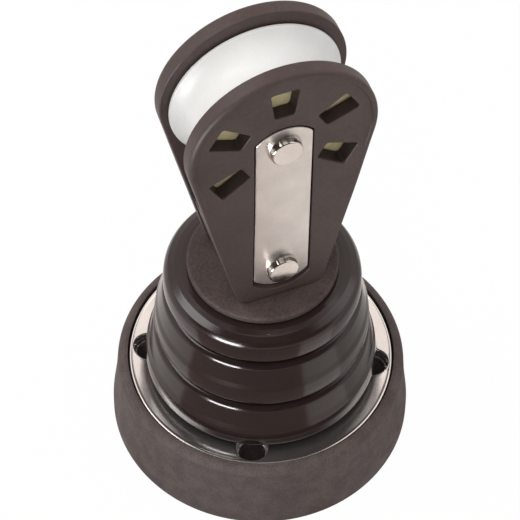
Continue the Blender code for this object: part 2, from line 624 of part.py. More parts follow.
def swivel_eye(parts, cutters, steel):
    """Flanged post that turns in the cup, with an eye on the lower rivet."""
    flange = CUP_BORE_RADIUS - GAP
    post_top = FOOT_BOTTOM + 3.5
    profile = [(0.0, post_top), (POST_RADIUS - 0.4, post_top), (POST_RADIUS, post_top - 0.4)]
    profile += [(POST_RADIUS, POST_FLANGE_TOP), (flange, POST_FLANGE_TOP)]
    profile += [(flange, POST_FLANGE_BOTTOM), (0.0, POST_FLANGE_BOTTOM)]
    made = turned("swivel_eye", profile, parts, steel, (0, 0, 0), "Z", ROUND_MEDIUM)
    head = prism("post_eye_head", post_eye_outline(0.0), -POST_EYE_THICKNESS / 2,
                 POST_EYE_THICKNESS / 2, cutters, None)
    boolean(made, head, "UNION")
    tool = cylinder_cutter("post_eye_hole", RIVET_RADIUS + GAP, -POST_EYE_THICKNESS,
                           POST_EYE_THICKNESS, cutters, (0, 0, LOWER_RIVET_HEIGHT), "Y")
    return boolean(made, tool, "DIFFERENCE")


def post_eye_outline(grow):
    """Outline of the eye on the swivel post, grown by a clearance."""
    neck = FOOT_BOTTOM + 1.4 - grow
    circles = [(0.0, LOWER_RIVET_HEIGHT, POST_EYE_RADIUS + grow)]
    circles += [(x, neck + 0.5, 0.5) for x in (-POST_RADIUS - grow, POST_RADIUS + grow)]
    return hull_outline(circles, 28)


def cheek_outline(inset):
    """Pear outline of a cheek, moved inward by inset."""
    corner = max(FOOT_CORNER_RADIUS - inset, 0.4)
    across = FOOT_HALF_WIDTH - inset - corner
    up = FOOT_BOTTOM + inset + corner
    head = (0.0, AXLE_HEIGHT + CHEEK_ARC_RISE, CHEEK_RADIUS - inset)
    return hull_outline([head, (across, up, corner), (-across, up, corner)], 44)


def window_outline(index):
    """One keystone window, its sides converging on the axle."""
    turn_deg = 90.0 + WINDOW_PITCH_DEG * (index - (WINDOW_COUNT - 1) / 2)
    inner, outer = WINDOW_INNER_RADIUS, WINDOW_OUTER_RADIUS
    corners = [(inner, -WINDOW_INNER_WIDTH / 2), (outer, -WINDOW_OUTER_WIDTH / 2)]
    corners += [(outer, WINDOW_OUTER_WIDTH / 2), (inner, WINDOW_INNER_WIDTH / 2)]
    angle = math.radians(turn_deg)
    placed = []
    for out, side in rounded_polygon(corners, WINDOW_CORNER_RADIUS, 2):
        placed.append((out * math.cos(angle) - side * math.sin(angle),
                       AXLE_HEIGHT + out * math.sin(angle) + side * math.cos(angle)))
    return placed


def strap_outline(grow, lower_relief):
    """Outline of a strap: straight sides and shallow bowed ends beyond both rivets."""
    half = STRAP_WIDTH / 2 + grow
    sagitta = STRAP_END_REACH - STRAP_CORNER_REACH
    bow = ((STRAP_WIDTH / 2) ** 2 + sagitta ** 2) / (2 * sagitta) + grow
    spread = math.degrees(math.asin(min(half / bow, 1.0)))
    top_centre = AXLE_HEIGHT + STRAP_END_REACH + grow - bow
    low_centre = LOWER_RIVET_HEIGHT - STRAP_END_REACH - grow - lower_relief + bow
    points = arc_points((0.0, top_centre), bow, 90.0 - spread, 90.0 + spread, 10)
    points += arc_points((0.0, low_centre), bow, 270.0 - spread, 270.0 + spread, 10)
    return points


def cheek(name, side, parts, cutters, plastic):
    """Moulded cheek with a rounded rim, sunk face, five windows and a pocket for its strap."""
    planes = sorted((side * CHEEK_INNER, side * CHEEK_OUTER))
    made = prism(name, cheek_outline(0.0), planes[0], planes[1], parts, plastic,
                 (0, 0, FOOT_BOTTOM), "Y", CHEEK_EDGE_ROUND, side)
    top = AXLE_HEIGHT + CHEEK_ARC_RISE + CHEEK_RADIUS
    runout = AXLE_HEIGHT - CHEEK_FACE_RUNOUT
    lean = math.atan2(CHEEK_FACE_SINK, top - runout)
    face_planes = sorted((side * CHEEK_OUTER, side * (CHEEK_OUTER + 4.0)))
    face = prism(f"{name}_face", cheek_outline(CHEEK_RIM_WIDTH), face_planes[0], face_planes[1],
                 cutters, None, (0, side * CHEEK_OUTER, runout))
    face.rotation_euler = (side * lean, 0.0, 0.0)
    boolean(made, face, "DIFFERENCE")
    for i in range(WINDOW_COUNT):
        planes = sorted((side * (CHEEK_INNER - 2.0), side * (CHEEK_OUTER + 2.0)))
        tool = prism(f"{name}_window_{i + 1}", window_outline(i), planes[0], planes[1], cutters, None)
        boolean(made, tool, "DIFFERENCE")
    planes = sorted((side * STRAP_POCKET_FLOOR, side * (CHEEK_OUTER + 2.0)))
    pocket = prism(f"{name}_strap_pocket", strap_outline(GAP, STRAP_POCKET_RELIEF), planes[0],
                   planes[1], cutters, None)
    boolean(made, pocket, "DIFFERENCE")
    for label, height in (("axle", AXLE_HEIGHT), ("lower", LOWER_RIVET_HEIGHT)):
        tool = cylinder_cutter(f"{name}_{label}_hole", RIVET_RADIUS + GAP, -CHEEK_OUTER - 2,
                               CHEEK_OUTER + 2, cutters, (0, 0, height), "Y")
        boolean(made, tool, "DIFFERENCE")
    return made


def strap(name, side, parts, cutters, steel):
    """Stainless load strap let into a cheek."""
    planes = sorted((side * STRAP_INNER, side * STRAP_OUTER))
    made = prism(name, strap_outline(0.0, 0.0), planes[0], planes[1], parts, steel,
                 (0, 0, LOWER_RIVET_HEIGHT), "Y", 0.15, side)
    for label, height in (("axle", AXLE_HEIGHT), ("lower", LOWER_RIVET_HEIGHT)):
        tool = cylinder_cutter(f"{name}_{label}_hole", RIVET_RADIUS + GAP, -CHEEK_OUTER - 2,
                               CHEEK_OUTER + 2, cutters, (0, 0, height), "Y")
        boolean(made, tool, "DIFFERENCE")
    return made


def rivet(name, height, parts, steel):
    """Through rivet with a flat head proud of each strap."""
    inner = STRAP_OUTER + GAP
    end = inner + RIVET_HEAD_THICKNESS
    edge = 0.35
    profile = [(0.0, end), (RIVET_HEAD_RADIUS - edge, end), (RIVET_HEAD_RADIUS, end - edge)]
    profile += [(RIVET_HEAD_RADIUS, inner), (RIVET_RADIUS, inner), (RIVET_RADIUS, -inner)]
    profile += [(RIVET_HEAD_RADIUS, -inner), (RIVET_HEAD_RADIUS, edge - end)]
    profile += [(RIVET_HEAD_RADIUS - edge, -end), (0.0, -end)]
    return turned(name, profile, parts, steel, (0, 0, height), "Y", ROUND_MEDIUM)


def axle_bush(parts, steel):
    """Sleeve round the axle, clamped between the cheeks, that the sheave turns on."""
    end = CHEEK_INNER - GAP
    profile = [(BUSH_RADIUS, end), (BUSH_RADIUS, -end), (BUSH_BORE_RADIUS, -end)]
    profile += [(BUSH_BORE_RADIUS, end)]
    return turned("axle_bush", profile, parts, steel, (0, 0, AXLE_HEIGHT), "Y", ROUND_SMALL)


def sheave(parts, white):
    """Sheave with a round rope groove and a slightly recessed web on each side."""
    half = SHEAVE_WIDTH / 2
    chord = half - SHEAVE_RIM_FLAT
    groove = (chord ** 2 + SHEAVE_GROOVE_DEPTH ** 2) / (2 * SHEAVE_GROOVE_DEPTH)
    spread = math.degrees(math.asin(min(chord / groove, 1.0)))
    centre = SHEAVE_RADIUS - SHEAVE_GROOVE_DEPTH + groove
    bore = BUSH_RADIUS + GAP
    web = half - SHEAVE_WEB_RECESS
    web_in, web_out = bore + 2.2, SHEAVE_RADIUS - 3.2
    profile = [(bore, half), (web_in, half), (web_in + 0.6, web), (web_out - 0.6, web)]
    profile += [(web_out, half), (SHEAVE_RADIUS - 0.3, half), (SHEAVE_RADIUS, half - 0.3)]
    for i in range(GROOVE_POINTS):
        angle = math.radians(spread - 2 * spread * i / (GROOVE_POINTS - 1))
        profile.append((centre - groove * math.cos(angle), groove * math.sin(angle)))
    mirrored = [(r, -h) for r, h in reversed(profile[:7])]
    return turned("sheave", profile + mirrored, parts, white, (0, 0, AXLE_HEIGHT), "Y", ROUND_LARGE)


def foot_spacer(parts, cutters, plastic):
    """Moulded piece between the cheeks: closes the foot, hollowed on top for the rope's swallow."""
    half = CHEEK_INNER - GAP
    made = prism("foot_spacer", cheek_outline(0.4), -half, half, parts, plastic, (0, 0, FOOT_BOTTOM))
    swallow = cylinder_cutter("spacer_swallow", AXLE_HEIGHT - SPACER_TOP, -half - 2, half + 2,
                              cutters, (0, 0, AXLE_HEIGHT), "Y", 72)
    boolean(made, swallow, "DIFFERENCE")
    slot_half = POST_RADIUS + GAP
    slot = prism("spacer_slot", slot_outline(), -slot_half, slot_half, cutters, None)
    boolean(made, slot, "DIFFERENCE")
    tool = cylinder_cutter("spacer_hole", RIVET_RADIUS + GAP, -half - 2, half + 2, cutters,
                           (0, 0, LOWER_RIVET_HEIGHT), "Y")
    return boolean(made, tool, "DIFFERENCE")


def slot_outline():
    """Slot for the swivel eye, open at the foot."""
    reach = POST_EYE_RADIUS + GAP
    circles = [(0.0, LOWER_RIVET_HEIGHT, reach)]
    circles += [(x, FOOT_BOTTOM - 1.0, 0.2) for x in (-POST_RADIUS - GAP, POST_RADIUS + GAP)]
    return hull_outline(circles, 28)


def build():
    """Build every piece and hang it on its joint axis."""
    clear_scene()
    parts = new_collection("stand_up_block")
    cutters = new_collection("cutters")
    rubber = new_material("base_rubber", (0.085, 0.072, 0.066), 0.75)
    boot_rubber = new_material("boot_rubber", (0.045, 0.032, 0.030), 0.18)
    cheek_plastic = new_material("cheek_plastic", (0.095, 0.075, 0.072), 0.5)
    disc_plastic = new_material("disc_plastic", (0.070, 0.055, 0.052), 0.7)
    sheave_white = new_material("sheave_white", (0.82, 0.81, 0.78), 0.45)
    plate_steel = new_material("plate_steel", (0.62, 0.60, 0.58), 0.18, 1.0)
    strap_steel = new_material("strap_steel", (0.60, 0.57, 0.54), 0.35, 1.0)
    bright_steel = new_material("bright_steel", (0.68, 0.66, 0.63), 0.15, 1.0)

    lower_axis = axis_empty("lower_tilt_axis", LOWER_PIN_HEIGHT, parts)
    upper_axis = axis_empty("upper_tilt_axis", UPPER_PIN_HEIGHT, parts)
    swivel_axis = axis_empty("swivel_axis", FOOT_BOTTOM, parts)
    sheave_axis = axis_empty("sheave_axis", AXLE_HEIGHT, parts)
    put_under(lower_axis, upper_axis)
    put_under(upper_axis, swivel_axis)
    put_under(swivel_axis, sheave_axis)

    base_ring(parts, cutters, rubber)
    base_plate(parts, cutters, plate_steel)
    deck_eye(parts, cutters, bright_steel)
    deck_eye_washer(parts, bright_steel)
    deck_eye_nut(parts, cutters, bright_steel)
    pin("lower_pin", LOWER_PIN_HEIGHT, "Y", parts, bright_steel)
    boot(parts, boot_rubber)

    put_under(lower_axis, toggle_link(parts, cutters, bright_steel))

    head = [swivel_fork(parts, cutters, bright_steel), swivel_nut(parts, bright_steel)]
    head.append(pin("upper_pin", UPPER_PIN_HEIGHT, "X", parts, bright_steel))
    head.append(top_disc(parts, disc_plastic))
    for made in head:
        put_under(upper_axis, made)

    block = [swivel_eye(parts, cutters, bright_steel), foot_spacer(parts, cutters, cheek_plastic)]
    block.append(cheek("front_cheek", -1, parts, cutters, cheek_plastic))
    block.append(cheek("rear_cheek", 1, parts, cutters, cheek_plastic))
    block.append(strap("front_strap", -1, parts, cutters, strap_steel))
    block.append(strap("rear_strap", 1, parts, cutters, strap_steel))
    block.append(rivet("axle_rivet", AXLE_HEIGHT, parts, bright_steel))
    block.append(rivet("lower_rivet", LOWER_RIVET_HEIGHT, parts, bright_steel))
    block.append(axle_bush(parts, bright_steel))
    for made in block:
        put_under(swivel_axis, made)
    put_under(sheave_axis, sheave(parts, sheave_white))

    for made in parts.objects:
        if made.type == "MESH":
            shade_round(made)


build()
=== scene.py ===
import json
import math

import bmesh
import bpy
import numpy as np
from mathutils import Matrix, Vector
from mathutils.geometry import delaunay_2d_cdt


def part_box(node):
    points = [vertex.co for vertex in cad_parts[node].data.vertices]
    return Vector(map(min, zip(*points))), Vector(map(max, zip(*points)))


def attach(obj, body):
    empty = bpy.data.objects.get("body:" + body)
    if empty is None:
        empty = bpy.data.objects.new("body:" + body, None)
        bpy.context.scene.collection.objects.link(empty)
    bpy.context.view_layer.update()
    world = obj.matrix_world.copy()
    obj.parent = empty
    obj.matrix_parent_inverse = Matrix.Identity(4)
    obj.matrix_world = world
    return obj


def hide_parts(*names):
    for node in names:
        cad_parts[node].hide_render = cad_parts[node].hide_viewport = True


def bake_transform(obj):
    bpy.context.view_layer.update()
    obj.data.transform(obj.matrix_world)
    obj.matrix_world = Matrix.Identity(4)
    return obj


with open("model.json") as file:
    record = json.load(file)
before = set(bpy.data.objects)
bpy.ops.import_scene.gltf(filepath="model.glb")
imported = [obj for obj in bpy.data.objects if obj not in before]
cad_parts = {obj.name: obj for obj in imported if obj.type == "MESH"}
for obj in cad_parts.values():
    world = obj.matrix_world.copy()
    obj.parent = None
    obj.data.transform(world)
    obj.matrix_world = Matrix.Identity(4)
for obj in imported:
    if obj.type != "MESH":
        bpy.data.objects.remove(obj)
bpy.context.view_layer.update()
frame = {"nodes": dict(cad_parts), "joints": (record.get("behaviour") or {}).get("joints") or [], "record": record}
mm = 0.001
joints = {joint["name"]: np.array(joint["pos_m"]) / mm for joint in frame["joints"]}
print("frame loaded:", len(frame["nodes"]), "nodes")


def nodeBox(name):
    low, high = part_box(name)
    return np.array(low) / mm, np.array(high) / mm


# The photograph is taken with a long lens from above; the block is turned a little on its swivel.
view = {"lens": 223.3, "sensor": 36.0, "farthest": 20.0, "distance": 646.4, "elevation": 53.77, "roll": 1.17,
        "aim": (-0.55, 0.0, 49.89), "turn": 22.57}
turned = Matrix.Rotation(math.radians(-view["turn"]), 4, "Z")  # from the viewer's axes to the block's


def addCamera():
    e, roll = math.radians(view["elevation"]), math.radians(view["roll"])
    back = Vector((0, -math.cos(e), math.sin(e)))
    right, up = Vector((1, 0, 0)), Vector((0, math.sin(e), math.cos(e)))
    rolledRight = right * math.cos(roll) + up * math.sin(roll)
    rolledUp = up * math.cos(roll) - right * math.sin(roll)
    place = Matrix((rolledRight, rolledUp, back)).transposed().to_4x4()
    place.translation = (Vector(view["aim"]) + back * view["distance"]) * mm
    data = bpy.data.cameras.new("camera")
    data.sensor_width, data.lens, data.clip_end = view["sensor"], view["lens"], view["farthest"]
    camera = bpy.data.objects.new("camera", data)
    camera.matrix_world = turned @ place
    bpy.context.scene.collection.objects.link(camera)
    bpy.context.scene.camera = camera


addCamera()


def gridFaces(rows, columns):
    # Quads between neighbouring points of a grid, whose last column joins its first.
    i = np.arange(rows - 1)[:, None] * columns
    j = np.arange(columns)[None, :]
    k = (j + 1) % columns
    return np.stack((i + j, i + k, i + k + columns, i + j + columns), -1).reshape(-1, 4)


def roundedPath(corners, steps=7, guard=0.08, closed=False):
    # Corners are (a, b, radius). Each becomes an arc touching both its sides: centre = corner + radius /
    # sin(half angle) along the bisector. A guard point beyond each end of the arc keeps the straight beside it flat
    # when shaded.
    spots = np.array([corner[:2] for corner in corners], float)
    radii = [corner[2] if len(corner) > 2 else 0.0 for corner in corners]
    count = len(spots)
    reach, unit = np.zeros(count), []
    for i in range(count):
        ends = [spots[i - 1] - spots[i], spots[(i + 1) % count] - spots[i]]
        unit.append([end / np.linalg.norm(end) for end in ends])
        if radii[i] > 0 and (closed or 0 < i < count - 1):
            half = math.acos(np.clip(unit[i][0] @ unit[i][1], -1, 1)) / 2
            reach[i] = radii[i] / math.tan(half)
    path = []
    for i in range(count):
        before, after = unit[i]
        if reach[i] == 0:
            path.append(spots[i][None])
            continue
        half = math.acos(np.clip(before @ after, -1, 1)) / 2
        middle = (before + after) / np.linalg.norm(before + after)
        centre = spots[i] + middle * radii[i] / math.sin(half)
        first, last = spots[i] + before * reach[i] - centre, spots[i] + after * reach[i] - centre
        bend = math.pi - 2 * half
        turn = np.linspace(0, bend, steps)[:, None]
        arc = centre + (first * np.sin(bend - turn) + last * np.sin(turn)) / math.sin(bend)
        room = [np.linalg.norm(spots[i - 1] - spots[i]) - reach[i] - reach[i - 1],
                np.linalg.norm(spots[(i + 1) % count] - spots[i]) - reach[i] - reach[(i + 1) % count]]
        if room[0] > 0.05:
            path.append((arc[0] + before * min(guard, room[0] / 3))[None])
        path.append(arc)
        if room[1] > 0.05:
            path.append((arc[-1] + after * min(guard, room[1] / 3))[None])
    if closed:
        path.append(path[0][:1])
    return np.concatenate(path)


def moved(corners, across, up):
    # The same corners, moved sideways and upwards.
    return [(a + across, b + up, *rest) for a, b, *rest in corners]


def arcLoop(arcs, spacing=0.5):
    # A closed outline: each arc is centre + radius * (cos, sin), and straights join one arc's end to the next one's
    # start; they bulge by a hundredth, so that a fill meets no three points in line. Gives points and outward normals.
    points, normals = [], []
    for i, (x, z, radius, start, end) in enumerate(arcs):
        count = max(int(math.radians(end - start) * radius / spacing), 5)
        angle = np.radians(np.linspace(start, end, count + 1))
        aim = np.stack((np.cos(angle), np.sin(angle)), 1)
        points.append((x, z) + radius * aim)
        normals.append(aim)
        x2, z2, radius2, start2, _ = arcs[(i + 1) % len(arcs)]
        start2 = math.radians(start2)
        gap = np.array((x2 + radius2 * math.cos(start2), z2 + radius2 * math.sin(start2))) - points[-1][-1]
        length = math.hypot(*gap)
        if length < 1e-4:
            points[-1], normals[-1] = points[-1][:-1], aim[:-1]
            continue
        runs = max(int(length / (2 * spacing)), 1)
        share = (np.arange(1, runs) / runs)[:, None]
        points.append(points[-1][-1] + share * gap + 0.04 * share * (1 - share) * aim[-1])
        normals.append(np.repeat(aim[-1:], len(share), 0))
    return np.concatenate(points), np.concatenate(normals)


def cornerArcs(corners, radius):
    # Arcs for the corners of a polygon that runs anticlockwise: centre = corner - radius * (n1 + n2) / (1 + n1.n2).
    spots = np.array(corners, float)
    side = np.roll(spots, -1, 0) - spots
    normal = np.stack((side[:, 1], -side[:, 0]), 1) / np.linalg.norm(side, axis=1)[:, None]
    arcs = []
    for i, spot in enumerate(spots):
        n1, n2 = normal[i - 1], normal[i]
        centre = spot - radius * (n1 + n2) / (1 + n1 @ n2)
        start = math.degrees(math.atan2(n1[1], n1[0]))
        sweep = math.degrees(math.atan2(n1[0] * n2[1] - n1[1] * n2[0], n1 @ n2))
        arcs.append((centre[0], centre[1], radius, start, start + sweep))
    return arcs


def circleLoop(x, z, radius, spacing=0.5):
    # The points of a circle, about one spacing apart, and their outward normals.
    angle = np.linspace(0, 2 * np.pi, max(int(6.283 * radius / spacing), 24), endpoint=False)
    aim = np.stack((np.cos(angle), np.sin(angle)), 1)
    return (x, z) + radius * aim, aim


def insideOf(points, loops):
    # Even-odd test: a ray to the right of an inside point crosses the outlines an odd number of times.
    crossings = np.zeros(len(points), int)
    for a in loops:
        b = np.roll(a, -1, 0)
        spans = (a[None, :, 1] > points[:, 1:2]) != (b[None, :, 1] > points[:, 1:2])
        slope = (b[:, 0] - a[:, 0]) / np.where(b[:, 1] == a[:, 1], 1e-9, b[:, 1] - a[:, 1])
        crossings += (spans & (points[:, :1] < a[:, 0] + (points[:, 1:2] - a[:, 1]) * slope)).sum(1)
    return crossings % 2 == 1


def ringPoints(radii, spacing):
    # Points on circles round the origin, about one spacing apart.
    return np.concatenate([circleLoop(0, 0, radius, spacing)[0] for radius in radii])


def fillBetween(outer, holes, spacing=1.6, inner=None):
    # Triangles between an outline and its holes: a constrained Delaunay fill over inner points, which lie on a
    # hexagonal grid unless they are given.
    loops = [outer] + holes
    if inner is None:
        low, high = outer.min(0), outer.max(0)
        i, j = np.meshgrid(np.arange(low[0], high[0], spacing), np.arange(low[1], high[1], spacing * 0.866))
        i = i + (np.arange(i.shape[0]) % 2)[:, None] * spacing / 2
        inner = np.stack((i.ravel(), j.ravel()), 1)
    inner = inner[insideOf(inner, loops)]
    rim = np.concatenate(loops)
    near = np.sqrt(((inner[:, None] - rim[None]) ** 2).sum(2).min(1))
    points = np.concatenate((rim, inner[near > 0.6 * spacing]))
    edges, start = [], 0
    for loop in loops:
        k = np.arange(len(loop))
        edges += np.stack((k + start, (k + 1) % len(loop) + start), 1).tolist()
        start += len(loop)
    made = delaunay_2d_cdt([Vector(p) for p in points.tolist()], edges, [], 0, 1e-6)
    points = np.array([tuple(p) for p in made[0]])
    faces = np.array([face[:3] for face in made[2]])
    return points, faces[insideOf(points[faces].mean(1), loops)]


def lathe(profile, turns=192, middle=(0, 0), axis="Z"):
    # Turns a profile of (radius, height) round an axis: across = r cos a and r sin a, along = height.
    angle = np.linspace(0, 2 * np.pi, turns, endpoint=False)[None]
    r, h = profile[:, :1], profile[:, 1:2] + 0 * angle
    if axis == "Y":
        points = np.stack((middle[0] + r * np.cos(angle), h, middle[1] + r * np.sin(angle)), 2)
    else:
        points = np.stack((middle[0] + r * np.cos(angle), middle[1] + r * np.sin(angle), h), 2)
    return points.reshape(-1, 3), gridFaces(len(profile), turns)


def latheCircle(radius, turns, middle=(0, 0)):
    # The points of one turned ring, in the plane.
    return lathe(np.array([(radius, 0.0)]), turns, middle)[0][:, :2]


def flatFill(outer, holes, level, spacing):
    # A level sheet between an outline and its holes.
    points, faces = fillBetween(outer, holes, spacing)
    return np.column_stack((points, np.full(len(points), level))), faces


def makePiece(name, patches, material, body=None, replaced=None, sharp=38):
    # Joins patches of (points, faces) in mm, closes their seams and shades the result smooth between edges sharper
    # than the given degrees.
    points, faces, start = [], [], 0
    for patch, corners in patches:
        points.append(patch)
        faces += (np.asarray(corners) + start).tolist()
        start += len(patch)
    mesh = bpy.data.meshes.new(name)
    mesh.from_pydata((np.concatenate(points) * mm).tolist(), [], faces)
    bm = bmesh.new()
    bm.from_mesh(mesh)
    bmesh.ops.remove_doubles(bm, verts=bm.verts, dist=0.003 * mm)
    bmesh.ops.recalc_face_normals(bm, faces=bm.faces)
    openEdges = sum(not edge.is_manifold for edge in bm.edges)
    bm.to_mesh(mesh)
    bm.free()
    mesh.shade_smooth()
    mesh.set_sharp_from_angle(angle=math.radians(sharp))
    mesh.materials.append(material)
    piece = bpy.data.objects.new(name, mesh)
    bpy.context.scene.collection.objects.link(piece)
    if body:
        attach(piece, body)
    if replaced:
        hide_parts(*replaced)
    print(f"made {name}: {len(mesh.polygons)} faces, {openEdges} open edges")
    return piece


def newGroup(name, inputs, output, kind="Float"):
    # A shader node group with a Vector and more named inputs, and one named output. Gives the group and its sockets.
    group = bpy.data.node_groups.new(name, "ShaderNodeTree")
    for label, value in {"Vector": (0, 0, 0), **inputs}.items():
        socket = "NodeSocket" + {1: "Float", 3: "Vector", 4: "Color"}[np.size(value)]
        group.interface.new_socket(label, in_out="INPUT", socket_type=socket).default_value = value
    group.interface.new_socket(output, in_out="OUTPUT", socket_type="NodeSocket" + kind)
    return group, group.nodes.new("NodeGroupInput").outputs, group.nodes.new("NodeGroupOutput").inputs[0]


def addNode(tree, kind, links=None, **values):
    # Adds a node, sets its properties, and fills its sockets from values or from other sockets.
    node = tree.nodes.new("ShaderNode" + kind)
    for key, value in values.items():
        setattr(node, key, value)
    for socket, value in (links or {}).items():
        if isinstance(value, bpy.types.NodeSocket):
            tree.links.new(value, node.inputs[socket])
        else:
            node.inputs[socket].default_value = value
    return node


def mathOf(tree, operation, *values):
    return addNode(tree, "Math", dict(enumerate(values)), operation=operation).outputs[0]


def rampOf(tree, value, low, high, toLow=0.0, toHigh=1.0, kind="LINEAR"):
    # Runs from one value to the other while the input runs from low to high.
    limits = {"Value": value, "From Min": low, "From Max": high, "To Min": toLow, "To Max": toHigh}
    return addNode(tree, "MapRange", limits, interpolation_type=kind).outputs[0]


def mixOf(tree, share, first, second):
    # A blend of two colours: the first where the share is 0, the second where it is 1.
    return addNode(tree, "Mix", {0: share, 6: first, 7: second}, data_type="RGBA").outputs[2]


def noiseOf(tree, spot, scale, detail, roughness=0.5):
    links = {"Vector": spot, "Scale": scale, "Detail": detail, "Roughness": roughness}
    return addNode(tree, "TexNoise", links).outputs[0]


def scaleOf(tree, size):
    # How often a pattern repeats in one metre, from its size in mm.
    return mathOf(tree, "DIVIDE", 1000.0, size)


def fineGrainGroup():
    # Fine moulded grain: soft noise with 0.35 of small cells 2.7 times as fine; the height is about 0 to 1.
    group, ins, out = newGroup("fineGrain", {"Size": 0.3}, "Height")
    scale = scaleOf(group, ins["Size"])
    coarse = noiseOf(group, ins["Vector"], scale, 3.0, 0.6)
    finer = mathOf(group, "MULTIPLY", scale, 2.7)
    fine = addNode(group, "TexVoronoi", {"Vector": ins["Vector"], "Scale": finer}).outputs["Distance"]
    group.links.new(mathOf(group, "MULTIPLY_ADD", fine, 0.35, coarse), out)
    return group


def cloudToneGroup():
    # Soft clouds of a lighter and a darker tone of the same colour, with a speckle over them, 11 times as fine.
    inputs = {"Light": (1, 1, 1, 1), "Dark": (0, 0, 0, 1), "Size": 8.0, "Speckle": 0.3}
    group, ins, out = newGroup("cloudTone", inputs, "Color", "Color")
    scale = scaleOf(group, ins["Size"])
    cloud = noiseOf(group, ins["Vector"], scale, 4.0)
    speckle = noiseOf(group, ins["Vector"], mathOf(group, "MULTIPLY", scale, 11.0), 2.0)
    shift = mathOf(group, "SUBTRACT", speckle, 0.5)
    total = mathOf(group, "MULTIPLY_ADD", shift, ins["Speckle"], cloud)
    group.links.new(mixOf(group, rampOf(group, total, 0.32, 0.68), ins["Dark"], ins["Light"]), out)
    return group


def brushLinesGroup():
    # Fine lines of brushed or rolled steel: noise, stretched along one axis by the mapping it is given.
    group, ins, out = newGroup("brushLines", {"Size": 0.15}, "Lines")
    group.links.new(noiseOf(group, ins["Vector"], scaleOf(group, ins["Size"]), 5.0, 0.7), out)
    return group


def faintScratchesGroup():
    # A few hairline scratches: thin bands where either of two stretched noises crosses one value.
    group, ins, out = newGroup("faintScratches", {"Amount": 0.5}, "Mask")
    masks = []
    for turn in (0.5, 2.1):
        stretch = {"Vector": ins["Vector"], "Rotation": (0.3, 0.2, turn), "Scale": (40.0, 900.0, 900.0)}
        noise = noiseOf(group, addNode(group, "Mapping", stretch).outputs[0], 1.0, 1.0)
        away = mathOf(group, "ABSOLUTE", mathOf(group, "SUBTRACT", noise, 0.62))
        masks.append(rampOf(group, away, 0.0, 0.012, 1.0, 0.0))
    group.links.new(mathOf(group, "MULTIPLY", mathOf(group, "MAXIMUM", *masks), ins["Amount"]), out)
    return group


def axleZoneGroup():
    # Marks what lies within one range of depth (distance from the block's middle plane) and one of reach (distance
    # from the axle). Each mask runs from 0 to 1 between its two ends.
    ends = ("Depth From", "Depth To", "Reach From", "Reach To")
    group, ins, out = newGroup("axleZone", {"To Axle": (0, 0, 0), **{end: 0.0 for end in ends}}, "Mask")
    centred = addNode(group, "Mapping", {"Vector": ins["Vector"], "Location": ins["To Axle"]}).outputs[0]
    depth = mathOf(group, "ABSOLUTE", addNode(group, "SeparateXYZ", {0: centred}).outputs["Y"])
    flat = addNode(group, "VectorMath", {0: centred, 1: (1, 0, 1)}, operation="MULTIPLY").outputs[0]
    reach = addNode(group, "VectorMath", {0: flat}, operation="LENGTH").outputs["Value"]
    masks = [rampOf(group, depth, ins[ends[0]], ins[ends[1]]), rampOf(group, reach, ins[ends[2]], ins[ends[3]])]
    group.links.new(mathOf(group, "MULTIPLY", *masks), out)
    return group


groups = {"grain": fineGrainGroup(), "cloud": cloudToneGroup(), "lines": brushLinesGroup(),
          "scratch": faintScratchesGroup(), "axle": axleZoneGroup()}


def useGroup(tree, group, links):
    return addNode(tree, "Group", links, node_tree=groups[group]).outputs[0]


def newMaterial(name, **fixed):
    # A material with object coordinates and a Principled shader; fixed sockets are set on the shader itself.
    material = bpy.data.materials.new(name)
    material.use_nodes = True
    tree = material.node_tree
    shader = tree.nodes["Principled BSDF"]
    for socket, value in fixed.items():
        shader.inputs[socket].default_value = value
    spot = tree.nodes.new("ShaderNodeTexCoord").outputs["Object"]
    return material, tree, shader, spot


def toned(colour, factor):
    # A lighter or darker tone of a colour, no brighter than white.
    return (*[min(c * factor, 1.0) for c in colour], 1.0)


# Colour, lighter and darker share, sizes of clouds and grain in mm, roughness from the grain's floor to its top, and
# the bump's strength and depth in mm.
finishes = {
    "base_rubber": {"colour": (0.098, 0.074, 0.069), "light": 1.22, "dark": 0.8, "cloud": 3.2, "speckle": 1.3,
                    "rough": (0.62, 0.8), "grain": 0.5, "bump": 0.5, "depth": 0.08, "specular": 0.3},
    "boot_rubber": {"colour": (0.024, 0.0140, 0.0125), "light": 1.12, "dark": 0.9, "cloud": 14.0, "speckle": 0.3,
                    "rough": (0.13, 0.19), "grain": 1.6, "bump": 0.05, "depth": 0.02, "specular": 0.42},
    "cheek_plastic": {"colour": (0.076, 0.052, 0.048), "light": 1.10, "dark": 0.9, "cloud": 9.0, "speckle": 0.8,
                      "rough": (0.42, 0.54), "grain": 0.34, "bump": 0.2, "depth": 0.03, "specular": 0.3},
    "disc_plastic": {"colour": (0.076, 0.053, 0.049), "light": 1.25, "dark": 0.78, "cloud": 7.0, "speckle": 1.0,
                     "rough": (0.6, 0.78), "grain": 0.34, "bump": 0.3, "depth": 0.06, "specular": 0.35},
    "sheave_white": {"colour": (0.84, 0.83, 0.81), "light": 1.01, "dark": 0.95, "cloud": 7.0, "speckle": 0.4,
                     "rough": (0.36, 0.46), "grain": 0.5, "bump": 0.05, "depth": 0.02, "specular": 0.45},
}

# Painted shade near the axle: the sheave's web is tinted warm ivory as it looks in shade behind the windows, and the
# walls of the cheek's windows are painted darker. Depth is measured from the block's middle, reach from the axle, both
# in mm.
axleShadeTints = {"sheave_white": {"colour": (1.0, 0.85, 0.50), "depth": (5.0, 5.3), "reach": (16.6, 16.2)},
             "cheek_plastic": {"colour": (0.034, 0.022, 0.020), "depth": (9.3, 9.0), "reach": (17.3, 16.9)}}
